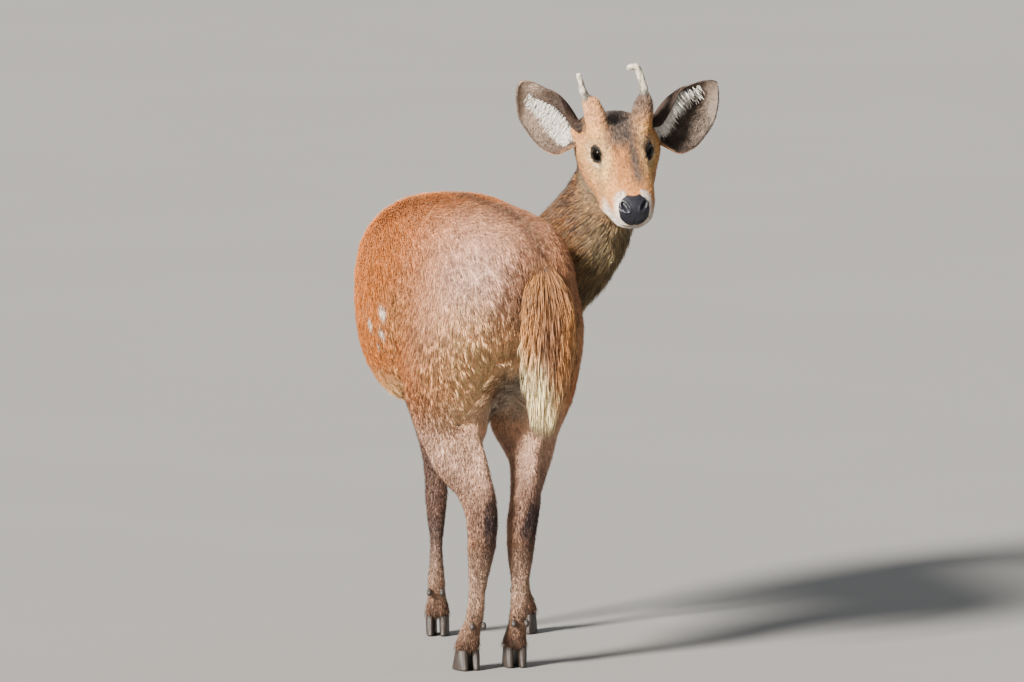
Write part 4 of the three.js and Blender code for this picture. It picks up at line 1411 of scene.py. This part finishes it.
def tone_of_tufts(roots, base, spread, dark, pale, rng):
    """Colours at the roots and tips of tufts: most near the marking, some dark, some with buff tips."""
    count = len(base)
    _, group = grouped(roots, OF_ONE_TONE, rng)
    of_group = rng.normal(0, 1, group.max() + 1)[group][:, None]
    tone = (1 + spread * of_group) * (1 + 0.6 * spread * rng.normal(size=(count, 1)))
    base = base * np.clip(tone, 0.45, 1.7) * (1 + 0.03 * rng.normal(size=(count, 3)))
    draw = 0.5 * rng.random((count, 1)) + 0.5 * rng.random(group.max() + 1)[group][:, None]
    is_dark, is_pale = draw < share_below(dark), draw > 1 - share_below(pale)
    base = np.where(is_dark, base * 0.4, base)
    tip = np.where(is_pale, 0.65 * base + 0.42 * COLOURS["buff"], base * 1.15)
    return np.stack([base * 0.78, tip], 1)


def coat_piece(name, hide, fields, density, count, rng):
    """One piece of the coat. Fields are the arrays over the hide that a tuft is read from."""
    corner, loop, share = scattered(hide.data, density, count, rng)
    root, normal, lie, colour = (
        read_off(fields[key], corner, share) for key in ("points", "normals", "lie", "colours")
    )
    length, half, lift, clump, dark, pale, tone = (
        read_off(fields[key][:, None], corner, share)
        for key in ("length", "half", "lift", "clump", "dark", "pale", "tone")
    )
    out = unit(normal)
    way = unit(lie + 0.15 * rng.normal(size=lie.shape))
    way = laid_flat(way, out)
    length = length * MM * rng.uniform(*TUFT_RANGE["length"], (count, 1))
    lift = lift * rng.uniform(*TUFT_RANGE["lift"], (count, 1))
    half = half * MM * rng.uniform(*TUFT_RANGE["half"], (count, 1))
    start = root - out * 0.5 * MM
    tip = clumped(start, root + way * length + out * length * lift, clump, rng)
    tones = tone_of_tufts(start, colour, tone, dark, pale, rng)
    uv = read_off(uv_of(hide.data), loop, share)
    spikes(name, start, tip, out, half, tones, uv, SLOTS.get(name, "coat"))


def make_coat(hide, weights, rng):
    """All pieces of the coat, each with its share of the tufts by its area and density."""
    points, normals = points_of(hide.data), normals_of(hide.data)
    colours, bare = markings(points, normals, weights)
    fields = coat_plan(points, normals, weights)
    fields.update(points=points, normals=normals, colours=colours, lie=lie_of_coat(points, normals))
    growing = fields["dense"] * ~hairless(points, weights, bare)
    corners, _ = triangles_of(hide.data)
    area = areas_of(points, corners)
    pieces = {name: share * growing for name, share in coat_pieces(placed_back(points), weights).items()}
    amounts = {name: (area * density[corners].mean(1)).sum() for name, density in pieces.items()}
    whole = sum(amounts.values())
    for name, density in pieces.items():
        count = min(int(COAT_TUFTS * amounts[name] / whole), MOST_IN_PIECE)
        coat_piece(name, hide, fields, density, count, rng)


# The widest angle between faces that stay together on the hide's map, in degrees
MAP_ANGLE = 66


def unwrap(thing):
    """The hide's own unwrap, as the map that colours are baked on."""
    bpy.context.view_layer.objects.active = thing
    for other in bpy.context.selected_objects:
        other.select_set(False)
    thing.select_set(True)
    thing.data.uv_layers.new(name="OFBake")
    bpy.ops.object.mode_set(mode="EDIT")
    bpy.ops.mesh.select_all(action="SELECT")
    bpy.ops.uv.smart_project(angle_limit=math.radians(MAP_ANGLE), island_margin=0.001)
    bpy.ops.object.mode_set(mode="OBJECT")


def dress_hide(hide, weights):
    """Colours the hide, darker under the coat than where the skin is bare."""
    mesh = hide.data
    colours, bare = markings(points_of(mesh), normals_of(mesh), weights)
    set_colours(mesh, colours * (0.72 + 0.28 * bare[:, None]))
    set_bare(mesh, bare)
    finish_piece(hide, "skin", list(FLESH))


def cup_section(half, outer, inner, curl):
    """Places across a section of an ear's cup, from its outer rim to its inner one, and the way that its
    back faces. The first column is across the ear and the second out of its opening."""
    t = np.linspace(-1, 1, EAR_ACROSS)
    curled = np.clip((t - CURL_FROM) / (1 - CURL_FROM), 0, 1)
    turn = np.radians(np.where(t < 0, outer * t, inner * t + curl * curled))
    steps = np.column_stack([np.cos(turn), np.sin(turn)])
    walk = np.vstack([[0, 0], np.cumsum((steps[1:] + steps[:-1]) / 2, axis=0)])
    scale = 2 * half / np.ptp(walk[:, 0])
    middle = (walk[:, 0].max() + walk[:, 0].min()) / 2
    return (walk - [middle, walk[:, 1].min()]) * scale, np.column_stack([np.sin(turn), -np.cos(turn)])


def ear_grid(name, face):
    """Places over one face of an ear, -1 the inner and 1 the back, by row from root to tip and across."""
    side = SIDES[name]
    root = on_side(EAR_ROOT, side)
    axis = np.array(EARS[name]["tip"]) - root
    along = unit(axis)
    facing = on_side(EAR_FACING, side)
    opening = unit(facing - along * (facing @ along))
    across = unit(np.cross(along * [1, -1, 1], opening * [1, -1, 1])) * [1, -1, 1] * -side
    t = np.linspace(-1, 1, EAR_ACROSS)
    grid = np.empty((EAR_ROWS, EAR_ACROSS, 3))
    for i, (share, half, outer, inner, curl, wall, hang) in enumerate(through(EAR_SECTIONS, EAR_ROWS)):
        section, away = cup_section(max(half, 1) * EARS[name]["wide"], outer, inner, curl)
        thin = wall * (1 - 0.5 * np.abs(t[:, None]) ** 4)
        section = section + away * face * thin / 2
        centre = root + axis * share - across * hang - opening * 0.35 * half
        grid[i] = centre + np.outer(section[:, 0], across) + np.outer(section[:, 1], opening)
    return grid


def ear_shell(name):
    """The ear's two faces. The inner one has soft ridges that fade towards the tip."""
    inner, back = ear_grid(name, -1), ear_grid(name, 1)
    along = np.linspace(0, 1, EAR_ROWS)[:, None]
    turn = np.linspace(-1, 1, EAR_ACROSS)[None]
    ridges = bump(turn, -0.3, 0.09) + 0.8 * bump(turn, 0.1, 0.1)
    ridges = ridges * ramp(along, 0.15, 0.35) * fall(along, 0.5, 0.85)
    return inner + unit(inner - back) * (1.4 * ridges)[..., None], back


def ear_colours(is_inner, along, turn):
    """Colours of an ear at a share of its length, and from -1 at its outer rim to 1 at the inner one."""
    inner_layers = [
        ("ear_brown", 0.8 * bump(along, 0.62, 0.2) * bump(turn, 0.05, 0.45)),
        ("ear_brown", 0.7 * fall(along, 0.28, 0.5) * fall(turn, -0.5, 0.1)),
        ("ear_dark", 0.7 * fall(along, 0.1, 0.28)),
        ("ear_dark", 0.9 * ramp(turn, -0.2, 0.1) * fall(along, 0.5, 0.8)),
    ]
    back_layers = [
        ("ear_dark", 0.9 * fall(along, 0.45, 0.75) * ramp(turn, 0.1, 0.4)),
        ("pedicle", 0.75 * fall(along, 0.3, 0.6) * fall(turn, -0.3, 0.05)),
    ]
    inside = painted("ear_inside", len(along), inner_layers)
    back = painted("ear_back", len(along), back_layers)
    rim = ramp(np.abs(turn), 0.93, 0.985) * ramp(along, 0.25, 0.5)
    return mix(np.where(is_inner[:, None], inside, back), "ear_dark", 0.75 * rim)


def on_grid(grid, row, column):
    """Values of a grid read between its rows and columns."""
    i, j = row.astype(int), column.astype(int)
    u, v = (row - i)[:, None], (column - j)[:, None]
    low = grid[i, j] * (1 - v) + grid[i, j + 1] * v
    high = grid[i + 1, j] * (1 - v) + grid[i + 1, j + 1] * v
    return low * (1 - u) + high * u


def ear_map(along, turn, is_inner):
    """Places on the ear's own map, with its inner face on one half and its back on the other."""
    return np.column_stack([0.25 + 0.22 * turn + 0.5 * is_inner, 0.05 + 0.9 * along])


# How many tufts each face of an ear has, and between which lengths, half widths and lifts they vary
EAR_TUFTS = 10000
EAR_TUFT = {"length": (4, 8), "half": (0.3, 0.55), "lift": (0.06, 0.26)}


def ear_tufts(face, other, is_inner, shade, rng):
    """Roots, tips, outward directions, half widths, colours and map places of one face's short hair."""
    row = rng.uniform(1, EAR_ROWS - 2.01, EAR_TUFTS)
    column = rng.uniform(0, EAR_ACROSS - 2.01, EAR_TUFTS)
    root = from_head(on_grid(face, row, column))
    out = unit(root - from_head(on_grid(other, row, column)))
    ahead = from_head(on_grid(face, row + 1, column)) - root
    aside = from_head(on_grid(face, row, column + 1)) - root
    way = unit(unit(ahead) + unit(aside) * rng.normal(0, 0.14, (EAR_TUFTS, 1)))
    way = laid_flat(way, out)
    along, turn = row / (EAR_ROWS - 1), 2 * column / (EAR_ACROSS - 1) - 1
    one_each = (EAR_TUFTS, 1)
    length = MM * rng.uniform(*EAR_TUFT["length"], one_each) * (1 - 0.5 * ramp(along, 0.8, 1))[:, None]
    tip = root + way * length + out * length * rng.uniform(*EAR_TUFT["lift"], one_each)
    inside = np.full(EAR_TUFTS, is_inner)
    # the inner face's painted shade, darker on the left ear
    base = shade * ear_colours(inside, along, turn) * np.clip(rng.normal(1, 0.16, one_each), 0.5, 1.5)
    colours = np.stack([base * 0.72, base * 1.15], 1)
    half = MM * rng.uniform(*EAR_TUFT["half"], one_each)
    return root - out * 0.3 * MM, tip, out, half, colours, ear_map(along, turn, inside)


def dress_ear(name, rng):
    """The shell with its short hair, and the long pale fringe from its inner margin."""
    inner, back = ear_shell(name)
    rings = np.concatenate([inner, back[:, ::-1]], 1)
    ear = rings_mesh("ear_" + name + "_skin", from_head(rings))
    turn = np.linspace(-1, 1, EAR_ACROSS)
    turn = np.tile(np.concatenate([turn, turn[::-1]]), EAR_ROWS)
    along = np.repeat(np.linspace(0, 1, EAR_ROWS), 2 * EAR_ACROSS)
    is_inner = np.tile(np.repeat([True, False], EAR_ACROSS), EAR_ROWS)
    # painted shade on the inner face, darker on the left ear
    shade = EARS[name]["shade"]
    shades = np.where(is_inner, 0.8 * shade, 0.8)[:, None]
    set_colours(ear.data, ear_colours(is_inner, along, turn) * shades)
    set_bare(ear.data, np.zeros(len(along)))
    corners = rows_of(ear.data.loops, "vertex_index", 1, np.int32).ravel()
    set_uv(ear.data, ear_map(along, turn, is_inner)[corners])
    finish_piece(ear, "skin", ["ear_" + name])
    faces = (ear_tufts(inner, back, True, shade, rng), ear_tufts(back, inner, False, 1, rng))
    joined = [np.concatenate(pair) for pair in zip(*faces)]
    spikes("ear_" + name + "_coat", *joined, "face_hair")
    ear_fringe(name, inner, back, rng)


# The long hair in each ear: how many hairs, how far along they start, where across the cup their
# roots lie, from -1 at the outer rim to 1 at the inner one, and the shortest and longest
FRINGES = {
    "left": {"hairs": 1300, "start": 0.03, "from": 0.3, "to": 0.9, "short": 14, "long": 30},
    "right": {"hairs": 1500, "start": 0.12, "from": -0.15, "to": 0.25, "short": 9, "long": 24},
}


def fringe_paths(name, inner, back, along, turn, rng):
    """Paths of an ear's long hairs from their roots across the cup, and the way that their backs face."""
    fringe = FRINGES[name]
    count = fringe["hairs"]
    row, column = along * (EAR_ROWS - 1), (turn + 1) / 2 * (EAR_ACROSS - 1)
    root = from_head(on_grid(inner, row, column))
    out = unit(root - from_head(on_grid(back, row, column)))
    facing = on_side(EAR_FACING, SIDES[name])
    goal_row = np.clip(row + rng.uniform(-5, 5, count), 1, EAR_ROWS - 2.01)
    goal_column = (1 + rng.uniform(-0.85, -0.4, count)) / 2 * (EAR_ACROSS - 1)
    goal = from_head(on_grid(inner, goal_row, goal_column) + facing * rng.uniform(5, 12, (count, 1)))
    facing = turned_by_head(facing)
    reach = MM * rng.uniform(fringe["short"], fringe["long"], (count, 1))
    reach = reach * (1 - 0.5 * ramp(along, 0.4, 0.75))[:, None]
    way = unit(unit(goal - root) + 0.07 * rng.normal(size=(count, 3)))
    rows = [root - out * 0.4 * MM]
    for share, rise in ((0.2, 0.06), (0.5, 0.1), (0.8, 0.08), (1.0, 0.02)):
        rows.append(root + way * reach * share + facing * reach * rise)
    return np.stack(rows, 1), facing[None].repeat(count, 0)


def ear_fringe(name, inner, back, rng):
    """Long pale hair that runs across the cup from its inner half."""
    fringe = FRINGES[name]
    count = fringe["hairs"]
    along = fringe["start"] + (0.75 - fringe["start"]) * rng.beta(1.3, 1.9, count)
    turn = rng.uniform(fringe["from"], fringe["to"], count)
    paths, outs = fringe_paths(name, inner, back, along, turn, rng)
    base = COLOURS["white"] * np.clip(rng.normal(1, 0.12, (count, 1)), 0.6, 1.2)
    colours = np.stack([base * shade for shade in (0.7, 0.9, 1, 1, 1.05)], 1)
    halves = MM * np.array([0.4, 0.42, 0.28]) * rng.uniform(0.6, 1.2, (count, 1))
    uv = ear_map(along, turn, np.ones(count))
    blades("ear_" + name + "_fringe", paths, outs, halves, colours, uv)


# The tail's long hair: how many locks, and streaks of one tone round the tail, how far the locks
# stand off the dock, a lock's length at the tail's root and how much less it is at the tip, the range
# of lengths and of stand, and the shares of a lock's length at which its rows lie
TAIL_LOCKS = 8600
TAIL_STREAKS = 90
TAIL_SPREAD = {"aside": 25, "behind": 14, "ahead": 5}
LOCK_LENGTH = 84
SHORTER_BELOW = 18
LENGTH_RANGE = (0.62, 1.1)
STAND_RANGE = (0.45, 1.05)
LOCK_ROWS = (0.16, 0.42, 0.72, 1.0)


def tail_colours(at, aside, behind, streak, rng):
    """Brown above, orange at the sides, and cream where the pale hair of the underside and tip shows."""
    count, rows, _ = at.shape
    height = at[..., 2] + rng.normal(0, 11, (count, 1))
    cream_from = 418 + 38 * aside[:, None]
    pale = fall(height - cream_from, -22, 34)
    layers = [
        ("tail_side", 0.8 * np.repeat(ramp(np.abs(aside), 0.25, 0.85), rows)),
        ("tail_tip", 0.95 * pale.ravel()),
        ("tail_tip", 0.8 * np.repeat(ramp(-behind, 0.2, 0.8), rows)),
        ("neck", 0.7 * ramp(at[..., 2], 480, 540).ravel()),
    ]
    colours = painted("tail_top", count * rows, layers)
    tone = np.clip(0.14 * streak + rng.normal(1, 0.09, count), 0.5, 1.45)
    colours = colours.reshape(count, rows, 3) * tone[:, None, None]
    dark = (rng.random(count) < 0.14)[:, None, None] & (pale < 0.3)[..., None]
    colours = np.where(dark, colours * 0.45, colours)
    colours[:, 0] *= 0.6
    return colours


def tail_paths(rng):
    """Paths of the locks, the way each one's back faces, and where along and round the dock it grows."""
    path, radii = dock_rows(200)
    start = rng.beta(1.0, 1.1, TAIL_LOCKS)
    i = (6 + start * 188).astype(int)
    angle = rng.uniform(-math.pi, math.pi, TAIL_LOCKS)
    along = unit(np.gradient(path, axis=0))[i]
    side = unit(turning("z", DOCK_TURN) @ np.array([1.0, 0, 0]))
    side = unit(side - along * (along @ side)[:, None])
    back = np.cross(along, side)
    back *= np.sign(back[:, 1:2])
    aside, behind = np.sin(angle)[:, None], np.cos(angle)[:, None]
    root = path[i] + side * aside * radii[i, :1] + back * behind * radii[i, 1:]
    out = unit(side * aside / radii[i, :1] + back * behind / radii[i, 1:])
    below = ramp(start, 0.55, 1)[:, None]
    length = MM * (LOCK_LENGTH - SHORTER_BELOW * below) * rng.uniform(*LENGTH_RANGE, (TAIL_LOCKS, 1))
    depth = np.where(behind > 0, TAIL_SPREAD["behind"], TAIL_SPREAD["ahead"])
    clear_of_rump = 0.25 + 0.75 * ramp(start, 0.05, 0.35)[:, None]
    stand = rng.uniform(*STAND_RANGE, (TAIL_LOCKS, 1)) * (1 - 0.45 * below) * clear_of_rump
    spread = (side * aside * TAIL_SPREAD["aside"] + back * behind * depth) * MM * stand
    straight = unit(along * 0.4 + np.array([0, 0, -0.6]))
    rows = [root - out * 0.8 * MM]
    for share in LOCK_ROWS:
        swing = np.sin(min(share * 2.1, 1.75)) * (1 - 0.5 * below * share**2)
        rows.append(root + straight * length * share + spread * swing)
    paths = np.stack(rows, 1)
    loose = MM * 2.4 * rng.normal(size=(TAIL_LOCKS, 1, 3)) * np.array([0, 0.1, 0.4, 0.8, 1])[None, :, None]
    return paths + loose, out, start, angle


def make_tail(rng):
    """Long locks from all round the dock. They stand off it, hang, and close to a soft point."""
    paths, out, start, angle = tail_paths(rng)
    at = placed_back(paths.reshape(-1, 3)).reshape(paths.shape)
    streaks = rng.normal(size=TAIL_STREAKS)
    streak = streaks[((angle / math.pi + 1) / 2 * (TAIL_STREAKS - 1)).astype(int)]
    colours = tail_colours(at, np.sin(angle), np.cos(angle), streak, rng)
    halves = MM * np.array([0.75, 0.85, 0.6]) * rng.uniform(0.6, 1.2, (TAIL_LOCKS, 1))
    uv = np.column_stack([0.5 + 0.45 * angle / math.pi, 0.05 + 0.9 * start])
    tail = blades("tail_hair", paths, out, halves, colours, uv)
    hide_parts("tail")


def make_antler(name, rng):
    """A rough spike with a low burr where it leaves the pedicle."""
    rows = through(ANTLERS[name], ANTLER_ROWS)
    path = from_head(rows[:, :3])
    t = np.linspace(0, 1, len(rows))
    radius = rows[:, 3] * (1 + 0.12 * bump(rows[:, 2], 72, 3))
    radii = np.column_stack([radius, radius]) * MM
    rings = round_rod(path, np.array([0.0, 1.0, 0.0]), radii, ANTLER_SIDES)
    angle = all_round(ANTLER_SIDES)
    grain = sum(
        math.sin(0.7 * k) * np.sin(k * angle[None] + 5 * k * t[:, None] + rng.uniform(0, 6))
        for k in (3, 5, 8)
    )
    centre = rings.mean(1, keepdims=True)
    rings = centre + (rings - centre) * (1 + 0.045 * grain[..., None])
    antler = rings_mesh("antler_" + name + "_bone", rings)
    tone = 0.45 + 0.55 * ramp(rows[:, 2], 66, 88)
    set_colours(antler.data, np.repeat(COLOURS["antler"] * tone[:, None], ANTLER_SIDES, 0))
    finish_piece(antler, "antler", ["antler_" + name])


EYE_ROWS = 60
EYE_SIDES = 64


def make_eye(name):
    """A ball with a bulging cornea, a dark iris and a wide level pupil."""
    side = SIDES[name]
    outer, up, facing = eye_axes(side)
    polar = np.linspace(0.002, math.pi - 0.002, EYE_ROWS)
    around = all_round(EYE_SIDES)
    radius = EYE["radius"] + 0.7 * np.exp(-((polar / 0.62) ** 4))
    ring = np.cos(around)[None, :, None] * outer + np.sin(around)[None, :, None] * up
    middle = eye_middle(side)
    ahead, aside = radius * np.cos(polar), radius * np.sin(polar)
    rings = middle + ahead[:, None, None] * facing + aside[:, None, None] * ring
    eye = rings_mesh("eye_" + name + "_ball", from_head(rings))
    spread, turn = np.repeat(polar, EYE_SIDES), np.tile(around, EYE_ROWS)
    pupil = fall(np.hypot(spread * np.cos(turn) / 0.5, spread * np.sin(turn) / 0.3), 0.9, 1.1)[:, None]
    iris = fall(spread, 0.7, 0.78)[:, None]
    colours = COLOURS["eye_rim"] * (1 - iris) + COLOURS["iris"] * iris
    set_colours(eye.data, colours * (1 - pupil) + COLOURS["pupil"] * pupil)
    finish_piece(eye, "eye", ["eye_" + name])


# Claws of the hooves: sections from the sole up, with the height, heel, toe and half width
CLAW = [
    (0, -19, 25, 6.4),
    (1.6, -21, 26.8, 7.6),
    (6, -21.6, 24.5, 8),
    (14, -21, 19.5, 8.3),
    (22, -20.2, 15, 8.2),
    (29.5, -19, 11, 7.6),
]
CLAW_SIDES = 48


def claw_outline(heel, toe, half, inward):
    """A claw's outline on the plan: round at the heel, straight on the inner side and pointed at the toe."""
    angle = all_round(CLAW_SIDES)
    ahead = (1 + np.cos(angle)) / 2
    x = heel + (toe - heel) * ahead
    swell = np.abs(np.sin(angle)) ** (0.7 + 0.65 * ahead)
    y = half * np.sign(np.sin(angle)) * swell
    flattened = np.where(y * inward > 0, y * 0.72, y)
    return x, flattened + inward * 0.42 * half * ramp(ahead, 0.5, 1)


def make_claw(node):
    """One claw of a hoof, fitted to its node's own place and heading."""
    corners = points_of(frame["nodes"][node].data)
    sole = corners[corners[:, 2] < 0.5 * MM]
    centre = sole[:, :2].mean(0)
    _, axes = np.linalg.eigh(np.cov((sole[:, :2] - centre).T))
    ahead = axes[:, 1] * (-1 if axes[1, 1] > 0 else 1)
    side = np.array([-ahead[1], ahead[0]])
    inward = -1 if node.endswith("left") else 1
    rows = through(CLAW, 26)
    middle_at_sole = (CLAW[0][1] + CLAW[0][2]) / 2
    rings = np.empty((len(rows), CLAW_SIDES, 3))
    for i, (up, heel, toe, half) in enumerate(rows):
        x, y = claw_outline(heel, toe, half + 0.12 * math.sin(up * 2.4), inward)
        flat = centre + np.outer((x - middle_at_sole) * MM, ahead) + np.outer(y * MM, side)
        rings[i] = np.column_stack([flat, np.full(CLAW_SIDES, max(up, 0) * MM)])
    claw = rings_mesh(node + "_horn", rings)
    finish_piece(claw, "horn", [node])


# How much of its solid's box a dewclaw fills, and its rings and their sides
DEWCLAW_SHARE = 0.78
DEWCLAW_ROWS = 24
DEWCLAW_SIDES = 28


def make_dewclaw(node):
    """A small blunt claw of horn behind the foot."""
    low, high = (np.array(corner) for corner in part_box(node))
    half = (high - low) / 2 * DEWCLAW_SHARE
    polar = np.linspace(0.03, math.pi - 0.03, DEWCLAW_ROWS)
    around = all_round(DEWCLAW_SIDES)
    reach = np.sin(polar) ** 0.8
    form = [
        half[0] * np.outer(reach, np.cos(around)),
        half[1] * np.outer(reach, np.sin(around)),
        half[2] * np.outer(np.cos(polar), np.ones(DEWCLAW_SIDES)),
    ]
    claw = rings_mesh(node + "_horn", (low + high) / 2 + np.stack(form, -1))
    finish_piece(claw, "horn", [node])


# Lashes on each upper lid, and whiskers between two places along the muzzle
LASHES = 40
WHISKERS = 60
WHISKERS_FROM, WHISKERS_TO = 84, 112


def lash_rows(rng):
    """Lashes on the upper lids: paths in the head, the way each one's back faces, and half widths."""
    rows = []
    for side in SIDES.values():
        outer, up, facing = eye_axes(side)
        middle = eye_middle(side)
        for across in np.linspace(-9, 10.5, LASHES):
            height = EYE["high"] * (1 - (abs(across) / EYE["long"]) ** 2.4) + 0.9
            forward = math.sqrt(max((EYE["radius"] + 1.4) ** 2 - across**2 - height**2, 1))
            root = middle + outer * across + up * height + facing * forward
            way = unit(facing * 0.85 + up * 0.25 + outer * across * 0.05 + 0.05 * rng.normal(size=3))
            reach = rng.uniform(5, 8)
            path = [root - facing, root + way * reach * 0.5, root + way * reach - up * reach * 0.2]
            rows.append((path, up, 0.17))
    return rows


def whisker_rows(rng):
    """Whiskers on the lips, on either side of the head at random."""
    rows = []
    for _ in range(WHISKERS):
        side = rng.choice([-1, 1])
        forward = rng.uniform(WHISKERS_FROM, WHISKERS_TO)
        aside = side * np.interp(forward, [WHISKERS_FROM, WHISKERS_TO], [24, 17])
        root = np.array([aside, forward, rng.uniform(-32, -24)])
        way = unit(np.array([side * 1.0, 0.35, -0.35]) + 0.2 * rng.normal(size=3))
        reach = rng.uniform(8, 18)
        path = [root - way * 3, root + way * reach * 0.5, root + way * reach - [0, 0, 0.12 * reach]]
        rows.append((path, (0, 0, 1), 0.1))
    return rows


def make_lashes(rng):
    """Dark lashes on the upper lids and a few stiff hairs on the lips."""
    rows = lash_rows(rng) + whisker_rows(rng)
    paths, outs, halves = (np.array(column, float) for column in zip(*rows))
    colours = np.tile(COLOURS["black"], (len(rows), 3, 1))
    uv = np.column_stack([np.linspace(0.1, 0.9, len(rows)), np.full(len(rows), 0.5)])
    blades("lashes", from_head(paths), turned_by_head(outs), halves[:, None] * MM, colours, uv)


make_camera()
make_stage()
dice = np.random.default_rng(RANDOM_SEED)
skin, zone_shares = make_hide()
unwrap(skin)
dress_hide(skin, zone_shares)
make_coat(skin, zone_shares, dice)
for which in SIDES:
    dress_ear(which, dice)
    make_antler(which, dice)
    make_eye(which)
make_tail(dice)
make_lashes(dice)
for part in sorted(frame["nodes"]):
    if "_hoof_" in part:
        make_claw(part)
    if "_dewclaw_" in part:
        make_dewclaw(part)
